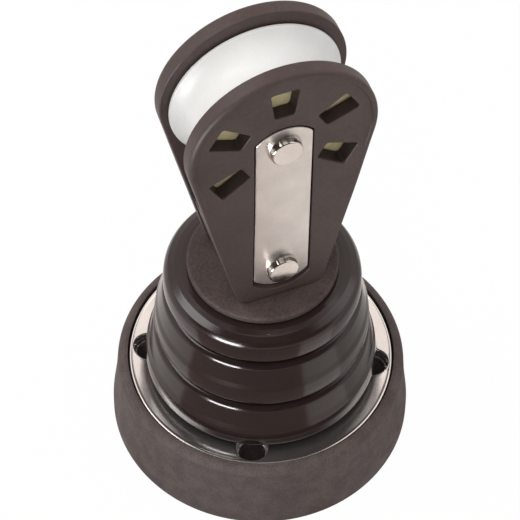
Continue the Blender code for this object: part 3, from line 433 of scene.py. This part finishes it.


# Mixes the painted shade tint into the colour, within its zone near the axle.
def axleShadeTinted(slot, tree, spot, colour):
    v = axleShadeTints[slot]
    ends = {"Depth From": v["depth"][0] * mm, "Depth To": v["depth"][1] * mm, "Reach From": v["reach"][0] * mm,
            "Reach To": v["reach"][1] * mm}
    zone = useGroup(tree, "axle", {"Vector": spot, "To Axle": (0, 0, -joints["sheave_spin"][2] * mm), **ends})
    return mixOf(tree, zone, colour, (*v["colour"], 1.0))


def mouldedMaterial(slot):
    v = finishes[slot]
    material, tree, shader, spot = newMaterial(slot, **{"Specular IOR Level": v["specular"]})
    colour = useGroup(tree, "cloud", {"Vector": spot, "Light": toned(v["colour"], v["light"]),
                                      "Dark": toned(v["colour"], v["dark"]), "Size": v["cloud"],
                                      "Speckle": v["speckle"]})
    # painted shade near the axle: a warm tint on the sheave's web, darker window walls on the cheeks
    if slot in axleShadeTints:
        colour = axleShadeTinted(slot, tree, spot, colour)
    tree.links.new(colour, shader.inputs["Base Color"])
    grain = useGroup(tree, "grain", {"Vector": spot, "Size": v["grain"]})
    tree.links.new(rampOf(tree, grain, 0.3, 0.9, *v["rough"]), shader.inputs["Roughness"])
    bump = addNode(tree, "Bump", {"Height": grain, "Strength": v["bump"], "Distance": v["depth"] * mm})
    tree.links.new(bump.outputs[0], shader.inputs["Normal"])
    return material


# Roughness between the lines and on them, the pattern's stretch, the size of its lines in mm, and its scratches.
steels = {
    "plate_steel": {"colour": (0.86, 0.815, 0.785), "metal": 0.95, "rough": (0.14, 0.19), "stretch": (1, 1, 1),
                    "lines": 3.0, "bump": 0.02, "scratch": 0.1},
    "strap_steel": {"colour": (0.735, 0.71, 0.67), "metal": 1.0, "rough": (0.32, 0.44), "stretch": (3, 1, 0.3),
                    "lines": 0.7, "bump": 0.05, "scratch": 0.3},
    "bright_steel": {"colour": (0.69, 0.65, 0.60), "metal": 1.0, "rough": (0.07, 0.15), "stretch": (1, 1, 1),
                     "lines": 1.5, "bump": 0.03, "scratch": 0.3},
}
steelTone = {"light": 1.05, "dark": 0.94, "cloud": 6.0, "speckle": 0.3, "scratchRough": 0.2, "scratchDepth": 0.6,
             "depth": 0.01}


def steelMaterial(slot):
    v, tone = steels[slot], steelTone
    material, tree, shader, spot = newMaterial(slot, Metallic=v["metal"])
    stretched = addNode(tree, "Mapping", {"Vector": spot, "Scale": v["stretch"]}).outputs[0]
    lines = useGroup(tree, "lines", {"Vector": stretched, "Size": v["lines"]})
    scratch = useGroup(tree, "scratch", {"Vector": spot, "Amount": v["scratch"]})
    colour = useGroup(tree, "cloud", {"Vector": spot, "Light": toned(v["colour"], tone["light"]),
                                      "Dark": toned(v["colour"], tone["dark"]), "Size": tone["cloud"],
                                      "Speckle": tone["speckle"]})
    tree.links.new(colour, shader.inputs["Base Color"])
    brushed = rampOf(tree, lines, 0.35, 0.65, *v["rough"])
    tree.links.new(mathOf(tree, "MULTIPLY_ADD", scratch, tone["scratchRough"], brushed), shader.inputs["Roughness"])
    height = mathOf(tree, "MULTIPLY_ADD", scratch, -tone["scratchDepth"], lines)
    bump = addNode(tree, "Bump", {"Height": height, "Strength": v["bump"], "Distance": tone["depth"] * mm})
    tree.links.new(bump.outputs[0], shader.inputs["Normal"])
    return material


paint = {slot: mouldedMaterial(slot) for slot in finishes}
for slot in steels:
    paint[slot] = steelMaterial(slot)
for row in frame["record"]["subparts"]:
    node = frame["nodes"][row["node"]]
    if not node.material_slots:
        node.data.materials.append(None)
    for place in node.material_slots:
        place.material = paint[row["material_slot"]]
print("finishes made:", ", ".join(sorted(paint)))

ringHigh = nodeBox("base_ring")[1]
plateHigh = nodeBox("base_plate")[1]
baseRing = {"shoulder": 1.3, "lipRound": 2.1, "waist": 0.75, "waistShare": 0.56, "waistRound": 14,
            "flareShare": 0.2, "flareRound": 9, "footRound": 0.7, "footInset": 1.2, "pocketGap": 0.4,
            "pocketDepth": 3.4, "pocketRound": 0.45, "core": 9.5, "cupGap": 0.6, "cupTaper": 0.4, "cupDrop": 0.3,
            "holeGap": 0.1, "turns": 256, "coreTurns": 96, "holeTurns": 48, "spacing": 3.0}
basePlate = {"rise": 1.4, "cove": 17.0, "crest": 0.5, "crestDrop": 0.06, "thick": 1.2, "bore": 3.5,
             "holeCircle": 23.3, "count": 4, "turn": -26.0, "hole": 2.65, "sink": 3.3, "brink": 0.25, "depth": 2.3,
             "turns": 256, "boreTurns": 64, "holeTurns": 72, "topSpacing": 0.35, "underSpacing": 0.8, "fillStart": 5,
             "fillStep": 1.6,
             # the upturned edge: in from the outside, down from the crest, and rounding
             "rim": [(0.5, 0.06), (0.4, 0.0, 0.1), (0.12, 0.02, 0.1), (0.0, 0.3, 0.25), (0.0, 0.8, 0.3), (0.5, 1.26)],
             # a countersink's brink: out from its radius, down from the dish
             "brinkRows": [(0.25, 0.0), (0.15, 0.015), (0.06, 0.05), (0.0, 0.12), (-0.05, 0.28)],
             # its cone and wall: radius, down from the floor of the dish
             "coneRows": [(3.22, 0.3), (2.77, 0.68), (2.68, 0.78), (2.65, 0.92), (2.65, 2.2), (2.75, 2.3), (3.2, 2.3)]}
plateFloor = plateHigh[2] - basePlate["rise"]


def holeCentres():
    # Evenly spaced round the plate, from the first hole's turn on.
    angle = np.radians(basePlate["turn"] + 360.0 / basePlate["count"] * np.arange(basePlate["count"]))
    return basePlate["holeCircle"] * np.stack((np.cos(angle), np.sin(angle)), 1)


def makeBaseRing():
    # A profile turned round Z, with level sheets under the plate and under the foot, and a stepped cup for each screw.
    v = baseRing
    radius, height = ringHigh[0], ringHigh[2]
    pocket, foot = plateHigh[0] + v["pocketGap"], radius - v["footInset"]
    floor = height - v["pocketDepth"]
    outside = roundedPath([(pocket, floor), (pocket, height, v["pocketRound"]),
                           (radius - v["shoulder"], height, v["lipRound"]),
                           (radius - v["waist"], height * v["waistShare"], v["waistRound"]),
                           (radius, height * v["flareShare"], v["flareRound"]), (radius, 0, v["footRound"]),
                           (foot, 0)], 15)
    core = np.array([(v["core"], 0), (v["core"], floor)], float)
    patches = [lathe(outside, v["turns"]), lathe(core, v["coreTurns"])]
    seat, through = basePlate["sink"] + v["cupGap"], basePlate["hole"] + v["holeGap"]
    cupFloor = plateFloor - basePlate["depth"] - v["cupDrop"]
    cup = np.array([(seat, floor), (seat - v["cupTaper"], cupFloor), (through, cupFloor), (through, 0)])
    spots = holeCentres()
    patches += [lathe(cup, v["holeTurns"], spot) for spot in spots]
    for rim, hole, level in ((pocket, seat, floor), (foot, through, 0.0)):
        holes = [latheCircle(v["core"], v["coreTurns"])] + [latheCircle(hole, v["holeTurns"], spot) for spot in spots]
        patches.append(flatFill(latheCircle(rim, v["turns"]), holes, level, v["spacing"]))
    makePiece("baseRing", patches, paint["base_rubber"], "base", ["base_ring"])


def makeBasePlate():
    # The dish rises by rise * share, with share from 0 where the cove starts to 1 at the crest of the rim; each hole
    # sinks from it by a rounded brink, a cone and a straight wall.
    v = basePlate
    radius, rise = plateHigh[0], v["rise"]
    edge = radius - v["crest"]

    def heightAt(xy):
        share = np.clip((np.hypot(xy[:, 0], xy[:, 1]) - v["cove"]) / (edge - v["cove"]), 0, 1)
        return plateFloor + (rise - v["crestDrop"]) * share

    rim = [(radius - inset, rise - drop, *rest) for inset, drop, *rest in v["rim"]]
    bore = np.array([(v["bore"], plateFloor), (v["bore"], plateFloor - v["thick"])])
    patches = [lathe(roundedPath(rim, 8, 0.02) + (0, plateFloor), v["turns"]), lathe(bore, v["boreTurns"])]
    aim = latheCircle(1.0, v["holeTurns"])
    holes = [latheCircle(v["bore"], v["boreTurns"])]
    for spot in holeCentres():
        grid = []
        for grow, down in v["brinkRows"]:
            around = spot + (v["sink"] + grow) * aim
            grid.append(np.column_stack((around, heightAt(around) - down)))
        for across, down in v["coneRows"]:
            grid.append(np.column_stack((spot + across * aim, np.full(len(aim), plateFloor - down))))
        for grow in (0.1, v["brink"]):
            around = spot + (v["sink"] + grow) * aim
            grid.append(np.column_stack((around, heightAt(around) - v["thick"])))
        patches.append((np.concatenate(grid), gridFaces(len(grid), len(aim))))
        holes.append(spot + (v["sink"] + v["brink"]) * aim)
    for down, spacing in ((0.0, v["topSpacing"]), (v["thick"], v["underSpacing"])):
        radii = np.concatenate((np.arange(v["fillStart"], v["cove"] - 1, v["fillStep"]),
                                np.arange(v["cove"], edge - spacing / 2, spacing)))
        inner = ringPoints(radii, 1.2 * spacing)
        points, faces = fillBetween(latheCircle(edge, v["turns"]), holes, spacing, inner)
        patches.append((np.column_stack((points, heightAt(points) - down)), faces))
    makePiece("basePlate", patches, paint["plate_steel"], "base", ["base_plate"], 30)


makeBaseRing()
makeBasePlate()

bootLow, bootHigh = nodeBox("boot")
# Corners are (out, up, rounding): a lobe's from its rim, the foot's and the hub's from the underside, and the top's
# and the cup's from the upper end. A lobe runs from the groove above it over brow, crease and bead to its lip.
boot = {"step": 1.9, "edgeRise": 3.6, "topRise": 5.0, "split": 29.65, "footInset": 5.5, "turns": 256,
        "groove": 4.5, "neck": 6.9, "underLobe": (-4.5, -1.8, 0.3), "neckInside": (-6.9, -2.0, 0.8),
        "lobe": [(-4.5, 9.7, 0.35), (-1.9, 9.3, 1.8), (-0.74, 4.4, 2.4), (-0.22, 3.0, 3.0), (0.02, 0.9, 12),
                 (0.02, -1.75, 1.35)],
        "inside": [(-2.4, 0.4, 1.0), (-3.7, 7.3, 1.5)],
        "foot": [(1.3, 1.7, 0.5), (0, 0.8, 0.3), (0, 0, 0.15)], "hub": [(10.8, 0, 0.1), (10.8, 1.6, 0.1)],
        "footInside": [(-3.4, 1.6, 0.6), (-1.4, 2.3, 0.5)],
        "top": [(-0.95, -1.0, 0.35), (-2.3, -0.3, 1.6), (-3.6, 0, 0.6)], "cup": [(10.7, 0, 0.2), (10.7, -2.1, 0.1)],
        "topInside": [(-5.1, -2.1, 0.6)],
        "still": (0.8, 0.6)}  # for the clamped foot and top, in mm


def makeBoot():
    # Two closed profiles turned round Z: the lower holds the lowest lobe, the upper the two others.
    v = boot
    radius, bottom, top, split = bootHigh[0], bootLow[2], bootHigh[2], v["split"]
    foot = radius - v["footInset"]
    levels = np.linspace(bottom + v["edgeRise"], top - v["topRise"], 3)
    (r0, z0), (r1, z1), (r2, z2) = [(radius - v["step"] * i, z) for i, z in enumerate(levels)]
    lower = [(r0 - v["groove"], split)] + moved(v["lobe"], r0, z0) + moved(v["foot"], foot, bottom)
    lower += moved(v["hub"], 0, bottom) + moved(v["footInside"], foot, bottom) + moved(v["inside"], r0, z0)
    lower += [(r0 - v["neck"], split)]
    upper = [(r0 - v["neck"], split), (r0 - v["groove"], split)] + moved([v["underLobe"]], r0, z1)
    upper += moved(v["lobe"], r1, z1)[::-1] + moved([v["underLobe"]], r1, z2) + moved(v["lobe"], r2, z2)[:2:-1]
    upper += moved(v["top"], r2, top) + moved(v["cup"], 0, top) + moved(v["topInside"], r2, top)
    upper += moved(v["inside"][:1], r2, z2) + moved([v["neckInside"]], r1, z2) + moved(v["inside"][::-1], r1, z1)
    pieces = []
    for name, corners in (("bootLower", lower), ("bootUpper", upper)):
        path = roundedPath(corners, 9, 0.1)
        path = np.concatenate((path, path[:1]))
        pieces.append(makePiece(name, [lathe(path, v["turns"])], paint["boot_rubber"]))
    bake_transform(pieces[0])
    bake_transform(pieces[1])
    for piece in pieces:
        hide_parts("boot")


makeBoot()

discLow, discHigh = nodeBox("top_disc")
disc = {"thick": 1.6, "edge": 0.55, "under": 0.35, "spigot": 10.3, "bore": 7.6, "recess": 9.3, "recessDepth": 1.3,
        "brinkRound": 0.03, "innerRound": 0.1, "footRounds": (0.2, 0.15), "turns": 224}
glandNut = {"bore": 3.7, "lap": 0.02, "flangeDepth": 0.9, "body": 7.3, "drop": 0.005, "rimRound": 0.04,
            "innerRound": 0.1, "endRound": 0.2, "turns": 160}


def makeDisc():
    # A closed profile turned round Z.
    v = disc
    radius, top, foot = discHigh[0], discHigh[2], discLow[2]
    under, recessFloor, crisp = top - v["thick"], top - v["recessDepth"], v["innerRound"]
    path = roundedPath([(v["recess"], top, v["brinkRound"]), (radius, top, v["edge"]), (radius, under, v["under"]),
                        (v["spigot"], under, crisp), (v["spigot"], foot, v["footRounds"][0]),
                        (v["bore"], foot, v["footRounds"][1]), (v["bore"], recessFloor, crisp),
                        (v["recess"], recessFloor, crisp)], 8, 0.1, True)
    makePiece("topDisc", [lathe(path, v["turns"])], paint["disc_plastic"], "head", ["top_disc"])


def makeGlandNut():
    # Closes the cup round the post; its flange fills the recess of the disc. A closed profile turned round Z.
    v = glandNut
    top, foot, rim = discHigh[2] - v["drop"], nodeBox("swivel_nut")[0][2], disc["recess"] - v["lap"]
    under, crisp, end = top - v["flangeDepth"], v["innerRound"], v["endRound"]
    path = roundedPath([(v["bore"], top, end), (rim, top, v["rimRound"]), (rim, under, crisp),
                        (v["body"], under, crisp), (v["body"], foot, end), (v["bore"], foot, end)], 6, 0.1, True)
    makePiece("glandNut", [lathe(path, v["turns"])], paint["disc_plastic"], "head", ["swivel_nut"])


makeDisc()
makeGlandNut()

axleHeight = joints["sheave_spin"][2]
footBottom, cheekTop = [corner[2] for corner in nodeBox("front_cheek")]
lowerHeight = sum(corner[2] for corner in nodeBox("lower_rivet")) / 2
# Depths are measured from the middle of the block; the faded heights are where a change begins and ends. The pocket is
# larger than the strap by gap, and by relief at its lower end.
cheek = {"inner": 6.25, "outer": 9.7, "radius": 19.1, "footHalf": 9.4, "footCorner": 3.0, "edge": 1.0,
         "footEdge": 0.35, "edgeFade": (96.0, 76.0), "innerEdge": 0.3, "rim": 1.15, "rimRound": 0.08,
         "slope": 0.22, "slopeRound": 0.12, "faceInset": 1.9, "innerInset": 1.3, "sink": 0.38, "fade": (99.0, 84.0),
         "windows": 5, "pitch": 60.0, "windowIn": (8.9, 4.0), "windowOut": (15.9, 5.8), "windowCorner": 0.55,
         "windowEdge": 0.2, "windowBrink": 0.1, "pocketFloor": 7.7, "pocketEdge": 0.15, "pocketBrink": 0.25,
         "pocketWall": 0.25, "hole": 2.9, "spacing": 3.0, "rimStep": 0.55, "windowStep": 0.25, "pocketStep": 0.45}
strap = {"half": 5.7, "cornerReach": 2.6, "endReach": 5.4, "fillet": 0.8, "gap": 0.3, "relief": 0.95, "inner": 8.0,
         "outer": 9.5, "innerEdge": 0.1, "edge": 0.18, "faceInset": 0.5, "hole": 2.9, "spacing": 2.0,
         "rimStep": 0.4}
rivet = {"head": 3.45, "face": 3.1, "edge": 0.25, "flank": 0.45, "flankRound": 0.5, "seatRound": 0.1, "shank": 2.6,
         "seat": 9.52, "end": 11.2, "turns": 96}


def pearArcs():
    # A round head and two round foot corners; the sides are their common tangents, whose normal stands at
    # angle(head to corner) + acos((head radius - foot radius) / distance).
    v = cheek
    headRadius, footRadius = v["radius"], v["footCorner"]
    headZ = cheekTop - v["radius"]
    x, z = v["footHalf"] - v["footCorner"], footBottom + v["footCorner"]
    away = math.hypot(x, z - headZ)
    normal = math.degrees(math.atan2(z - headZ, x) + math.acos((headRadius - footRadius) / away))
    return [(0, headZ, headRadius, normal, 180 - normal), (-x, z, footRadius, 180 - normal, 270),
            (x, z, footRadius, 270, 360 + normal)]


def strapArcs(grow=0.0, relief=0.0):
    # Two bowed ends, whose bow = (half width squared + rise squared) / (2 * rise), with a fillet at each corner.
    v = strap
    half, fillet = v["half"] + grow, v["fillet"] + grow * 0.5
    rise = v["endReach"] - v["cornerReach"]
    bow = (v["half"] ** 2 + rise ** 2) / (2 * rise) + grow
    topZ = axleHeight + v["endReach"] + grow - bow
    lowZ = lowerHeight - v["endReach"] - grow - relief + bow
    up = math.sqrt((bow - fillet) ** 2 - (half - fillet) ** 2)
    turn = math.degrees(math.atan2(up, half - fillet))
    x = half - fillet
    return [(x, topZ + up, fillet, 0, turn), (0, topZ, bow, turn, 180 - turn), (-x, topZ + up, fillet, 180 - turn, 180),
            (-x, lowZ - up, fillet, 180, 180 + turn), (0, lowZ, bow, 180 + turn, 360 - turn),
            (x, lowZ - up, fillet, 360 - turn, 360)]


def windowArcs(index):
    # A keystone between two distances from the axle, turned to its place round the head.
    v = cheek
    turn = math.radians(90 + v["pitch"] * (index - (v["windows"] - 1) / 2))
    (inner, narrow), (outer, wide) = v["windowIn"], v["windowOut"]
    corners = np.array([(inner, -narrow / 2), (outer, -wide / 2), (outer, wide / 2), (inner, narrow / 2)])
    spin = np.array([(math.cos(turn), math.sin(turn)), (-math.sin(turn), math.cos(turn))])
    return cornerArcs(corners @ spin + (0, axleHeight), v["windowCorner"])


def placed(side, xz, depth):
    # Points across the block: depth is measured from its middle, towards the front or the rear cheek.
    return np.column_stack((xz[:, 0], side * np.broadcast_to(depth, len(xz)), xz[:, 1]))


def faded(z, ends):
    # 1 above the first height and 0 below the second, with a smooth step between them.
    share = np.clip((z - ends[1]) / (ends[0] - ends[1]), 0, 1)
    return share * share * (3 - 2 * share)


def sunk(xz):
    # The outer face lies below its rim by an amount that fades from the head down to the foot.
    return cheek["sink"] * faded(xz[:, 1], cheek["fade"])


def wallRows(side, loop, normals, rows):
    # Rows of (grow, depth) round an outline: point = outline + grow * normal, at its own depth.
    grid = [placed(side, loop + np.reshape(grow, (-1, 1)) * normals, depth) for grow, depth in rows]
    return np.concatenate(grid), gridFaces(len(rows), len(loop))


def arcRows(radius, steps=5):
    # A quarter round as (grow, drop) from the face to the wall.
    angle = np.linspace(0, np.pi / 2, steps)
    return [(radius * (1 - math.sin(a)), radius * (1 - math.cos(a))) for a in angle]


def makeCheek(name, side, node):
    # Rows of the rim follow the outline; the rim is a blend of a wide and a narrow rounding, faded down the cheek.
    v = cheek
    outer, inner = v["outer"], v["inner"]
    loop, normals = arcLoop(pearArcs(), v["rimStep"])
    rims = [roundedPath([(v["innerInset"], inner), (0, inner, v["innerEdge"]), (0, outer, edge),
                         (v["rim"], outer, v["rimRound"]), (v["rim"] + v["slope"], outer - v["sink"], v["slopeRound"]),
                         (v["faceInset"], outer - v["sink"])], 9, 0.08) for edge in (v["edge"], v["footEdge"])]
    face = loop - v["faceInset"] * normals
    down, wide = sunk(face), faded(loop[:, 1], v["edgeFade"])
    rows = []
    for (wideIn, wideDepth), (narrowIn, narrowDepth) in zip(*rims):
        inset, depth = narrowIn + (wideIn - narrowIn) * wide, narrowDepth + (wideDepth - narrowDepth) * wide
        if narrowIn > 1 and narrowDepth > outer - 1:  # the slope to the sunk face
            depth = outer - (outer - depth) / v["sink"] * down
        rows.append((-inset, depth))
    patches = [wallRows(side, loop, normals, rows)]
    windows = []
    for i in range(v["windows"]):
        window, aim = arcLoop(windowArcs(i), v["windowStep"])
        level, edge = outer - sunk(window), v["windowEdge"]
        brink = window + (edge + v["windowBrink"]) * aim
        rows = [(edge + v["windowBrink"], outer - sunk(brink))]
        rows += [(grow, level - drop) for grow, drop in arcRows(edge)]
        rows += [(0, level - edge - 0.15), (0, inner + edge + 0.1)]
        rows += [(grow, inner + drop) for grow, drop in arcRows(edge)[::-1]] + [(edge + v["windowBrink"], inner)]
        patches.append(wallRows(side, window, aim, rows))
        windows.append(brink)
    pocket, aim = arcLoop(strapArcs(strap["gap"], strap["relief"]), v["pocketStep"])
    level = outer - sunk(pocket)
    brink = pocket + v["pocketBrink"] * aim
    rows = [(v["pocketBrink"], outer - sunk(brink))]
    rows += [(grow, level - drop) for grow, drop in arcRows(v["pocketEdge"])]
    rows += [(0, level - v["pocketWall"]), (0, v["pocketFloor"])]
    patches.append(wallRows(side, pocket, aim, rows))
    holes = []
    for z in (axleHeight, lowerHeight):
        circle, around = circleLoop(0, z, v["hole"])
        holes.append(circle)
        patches.append(wallRows(side, circle, around, [(0, v["pocketFloor"]), (0, inner)]))
    points, faces = fillBetween(face, windows + [brink])
    patches.append((placed(side, points, outer - sunk(points)), faces))
    back = loop - v["innerInset"] * normals
    for rim, gaps, depth in ((pocket, holes, v["pocketFloor"]), (back, windows + holes, inner)):
        points, faces = fillBetween(rim, gaps, v["spacing"])
        patches.append((placed(side, points, depth), faces))
    makePiece(name, patches, paint["cheek_plastic"], "block", [node])


def makeStrap(name, side, node):
    # Rows of the edge follow the outline, and two flat faces close it.
    v = strap
    loop, normals = arcLoop(strapArcs(), v["rimStep"])
    rim = roundedPath([(v["faceInset"], v["inner"]), (0, v["inner"], v["innerEdge"]), (0, v["outer"], v["edge"]),
                       (v["faceInset"], v["outer"])], 7, 0.06)
    patches = [wallRows(side, loop, normals, [(-inset, depth) for inset, depth in rim])]
    holes = []
    for z in (axleHeight, lowerHeight):
        circle, aim = circleLoop(0, z, v["hole"])
        holes.append(circle)
        patches.append(wallRows(side, circle, aim, [(0, v["inner"]), (0, v["outer"])]))
    for depth in (v["inner"], v["outer"]):
        points, faces = fillBetween(loop - v["faceInset"] * normals, holes, v["spacing"])
        patches.append((placed(side, points, depth), faces))
    makePiece(name, patches, paint["strap_steel"], "block", [node])


def makeRivet(name, z, node):
    # A profile turned round the axle's direction, the same to both sides.
    v = rivet
    half = [(0, v["end"]), (v["face"], v["end"], v["edge"]), (v["head"], v["seat"] + v["flank"], v["flankRound"]),
            (v["head"], v["seat"], v["seatRound"]), (v["shank"], v["seat"])]
    path = roundedPath(half + [(r, -h, *rest) for r, h, *rest in half[::-1]], 7, 0.08)
    piece = [lathe(path, v["turns"], (0, z), "Y")]
    makePiece(name, piece, paint["bright_steel"], "block", [node], 30)


wheel = {"bore": 4.7, "hubEdge": 2.2, "webRecess": -0.1, "rimWidth": 3.2, "slope": 0.6, "flat": 0.7,
         "grooveDepth": 2.9, "edge": 0.3, "boreRound": 0.2, "hubRound": 0.15, "webRound": 0.25, "turns": 256}


def makeSheave():
    # Half a profile and its mirror, turned round the axle. The groove is an arc of radius
    # (chord squared + depth squared) / (2 * depth).
    v = wheel
    radius, half = nodeBox("sheave")[1][:2]
    chord, web = half - v["flat"], half - v["webRecess"]
    groove = (chord ** 2 + v["grooveDepth"] ** 2) / (2 * v["grooveDepth"])
    angle = np.linspace(math.asin(chord / groove) - 0.1, 0, 22)
    middle = radius - v["grooveDepth"] + groove
    curve = np.stack((middle - groove * np.cos(angle), groove * np.sin(angle)), 1)
    hub, rim = v["bore"] + v["hubEdge"], radius - v["rimWidth"]
    corners = [(v["bore"], 0), (v["bore"], half, v["boreRound"]), (hub, half, v["hubRound"]),
               (hub + v["slope"], web, v["webRound"]), (rim - v["slope"], web, v["webRound"]),
               (rim, half, v["boreRound"]), (radius, half, v["edge"]), (radius, chord, v["edge"])] + curve.tolist()
    side = roundedPath(corners, 7, 0.06)
    path = np.concatenate((side, (side * (1, -1))[-2::-1]))
    turning = [lathe(path, v["turns"], (0, axleHeight), "Y")]
    makePiece("sheaveWheel", turning, paint["sheave_white"], "sheave", ["sheave"])


makeCheek("frontCheek", -1, "front_cheek")
makeCheek("rearCheek", 1, "rear_cheek")
makeStrap("frontStrap", -1, "front_strap")
makeStrap("rearStrap", 1, "rear_strap")
makeRivet("axleRivet", axleHeight, "axle_rivet")
makeRivet("lowerRivet", lowerHeight, "lower_rivet")
makeSheave()

# Strengths of the world and the floor, and what mirrored rays find: a slightly warm white, dark round the camera's
# direction and brighter overhead.
light = {"world": 0.49, "floor": 0.9, "floorGlow": 0.98, "floorSize": 3000, "mirrorTint": (1.0, 0.925, 0.895),
         "mirrorDark": 0.05, "darkRise": 32, "darkFade": (0.12, 0.5), "topGlow": 1.0, "topFade": (0.955, 0.975),
         "lampRise": 50}
# Cards: colour, left and right azimuth from the viewer in degrees, nearest and farthest distance and height in mm.
cards = {"card": ((0.38, 0.285, 0.27), -62, 36), "paleCard": ((0.6, 0.57, 0.55), 70, 130)}
cardSpan = {"near": 33, "far": 420, "height": 0.4}
lamps = [  # name, azimuth from the viewer and elevation in degrees, distance, width, height in mm, power in watts
    ("keyBox", -95, 54, 600, 300, 260, 1.25),
    ("frontBox", -10, 60, 700, 380, 300, 1.25),
    ("sideBox", 105, 48, 700, 400, 400, 0.55),
]
stripLamp = {"azimuth": -31, "distance": 300, "rise": 35, "width": 125, "height": 105, "glow": 34.0}


def plainMaterial(name):
    # A material without nodes but its output, whose Surface socket is given too.
    material = bpy.data.materials.new(name)
    material.use_nodes = True
    tree = material.node_tree
    tree.nodes.clear()
    return material, tree, tree.nodes.new("ShaderNodeOutputMaterial").inputs["Surface"]


def raySum(tree, names):
    # 1 where the ray is of any of the named kinds.
    path = tree.nodes.new("ShaderNodeLightPath")
    total = path.outputs[names[0]]
    for name in names[1:]:
        total = mathOf(tree, "MAXIMUM", total, path.outputs[name])
    return total


def mirrorTinted(tree):
    # White, but slightly warm to mirrored rays.
    return mixOf(tree, raySum(tree, ("Is Glossy Ray",)), (1, 1, 1, 1), (*light["mirrorTint"], 1))


def sheetPiece(name, corners, material):
    # One flat face of the stage, given by its corners in mm.
    mesh = bpy.data.meshes.new(name)
    mesh.from_pydata([tuple(c) for c in np.array(corners, float) * mm], [], [(0, 1, 2, 3)])
    mesh.materials.append(material)
    piece = bpy.data.objects.new(name, mesh)
    bpy.context.scene.collection.objects.link(piece)
    return piece


def showOnlyInMirrors(piece):
    piece.visible_camera = piece.visible_diffuse = piece.visible_shadow = False


def addFloor():
    # White sheet: nearly all glow to camera, mirrored and transmitted rays, so that it is white and keeps a soft
    # shadow.
    material, tree, surface = plainMaterial("floorSheet")
    diffuse = addNode(tree, "BsdfDiffuse", {"Color": (light["floor"],) * 3 + (1.0,)})
    seen = raySum(tree, ("Is Camera Ray", "Is Glossy Ray", "Is Transmission Ray"))
    glow = addNode(tree, "Emission", {"Color": mirrorTinted(tree), "Strength": 1.0})
    share = mathOf(tree, "MULTIPLY", seen, light["floorGlow"])
    mixed = addNode(tree, "MixShader", {0: share, 1: diffuse.outputs[0], 2: glow.outputs[0]})
    tree.links.new(mixed.outputs[0], surface)
    size = light["floorSize"]
    sheetPiece("floorSheet", [(-size, -size, 0), (size, -size, 0), (size, size, 0), (-size, size, 0)], material)


def viewerPoint(azimuth, elevation, distance):
    # A point by its direction as the viewer sees it (azimuth 0 towards the viewer, positive to the right).
    a, e = math.radians(azimuth), math.radians(elevation)
    return turned @ (Vector((math.sin(a) * math.cos(e), -math.cos(a) * math.cos(e), math.sin(e))) * distance)


def glowMaterial(name, strength, colour=(1, 1, 1)):
    material, tree, surface = plainMaterial(name)
    tone = addNode(tree, "Emission", {"Color": (*colour, 1.0), "Strength": strength})
    tree.links.new(tone.outputs[0], surface)
    return material


def addCards():
    # Cards on the floor that only mirrored rays see: a dark one before the object, a pale one at its right.
    v = cardSpan
    for name, (colour, left, right) in cards.items():
        spots = [viewerPoint(left, 0, v["near"]), viewerPoint(left, 0, v["far"]),
                 viewerPoint(right, 0, v["far"]), viewerPoint(right, 0, v["near"])]
        spots = [spot + Vector((0, 0, v["height"])) for spot in spots]
        showOnlyInMirrors(sheetPiece(name, spots, glowMaterial(name, 1.0, colour)))


def addStripLamp():
    # A low strip light at the front left, which only mirrored rays see: it draws the highlights on the lobes' beads.
    v = stripLamp
    middle = viewerPoint(v["azimuth"], 0, v["distance"]) + Vector((0, 0, v["rise"]))
    away = viewerPoint(v["azimuth"], 0, 1.0)
    across = Vector((0, 0, 1)).cross(away).normalized() * v["width"] / 2
    up = away.cross(across).normalized() * v["height"] / 2
    spots = [middle - across - up, middle + across - up, middle + across + up, middle - across + up]
    showOnlyInMirrors(sheetPiece("stripLamp", spots, glowMaterial("stripLamp", v["glow"])))


def addWorld():
    # White to the camera, even and soft for the light on the object; in mirrors it is dark round the camera's
    # direction and brighter overhead.
    world = bpy.data.worlds.new("studio")
    bpy.context.scene.world = world
    world.use_nodes = True
    tree = world.node_tree
    shade = tree.nodes["Background"]
    direction = tree.nodes.new("ShaderNodeTexCoord").outputs["Generated"]

    def towards(aim):
        return addNode(tree, "VectorMath", {0: direction, 1: aim}, operation="DOT_PRODUCT").outputs["Value"]

    ahead = rampOf(tree, towards(viewerPoint(0, light["darkRise"], 1.0)), *light["darkFade"], 1.0, light["mirrorDark"],
                   "SMOOTHSTEP")
    roof = rampOf(tree, towards((0, 0, 1)), *light["topFade"], 0.0, light["topGlow"], "SMOOTHSTEP")
    mirrored = mathOf(tree, "MAXIMUM", ahead, roof)
    soft = addNode(tree, "Mix", {0: raySum(tree, ("Is Glossy Ray",)), 2: light["world"], 3: mirrored}).outputs[0]
    seen = raySum(tree, ("Is Camera Ray", "Is Transmission Ray"))
    total = addNode(tree, "Mix", {0: seen, 2: soft, 3: 1.0}).outputs[0]
    tree.links.new(total, shade.inputs["Strength"])
    tree.links.new(mirrorTinted(tree), shade.inputs["Color"])


def addLamps():
    for name, azimuth, elevation, distance, width, height, power in lamps:
        data = bpy.data.lights.new(name, "AREA")
        data.shape, data.size, data.size_y, data.energy = "RECTANGLE", width * mm, height * mm, power
        lamp = bpy.data.objects.new(name, data)
        lamp.location = (viewerPoint(azimuth, elevation, distance) + Vector((0, 0, light["lampRise"]))) * mm
        lamp.rotation_euler = viewerPoint(azimuth, elevation, 1.0).to_track_quat("Z", "Y").to_euler()
        lamp.visible_glossy = name != "frontBox"
        bpy.context.scene.collection.objects.link(lamp)


addFloor()
addCards()
addStripLamp()
addWorld()
addLamps()
bpy.context.scene.view_settings.view_transform = "Standard"
print("stage set")
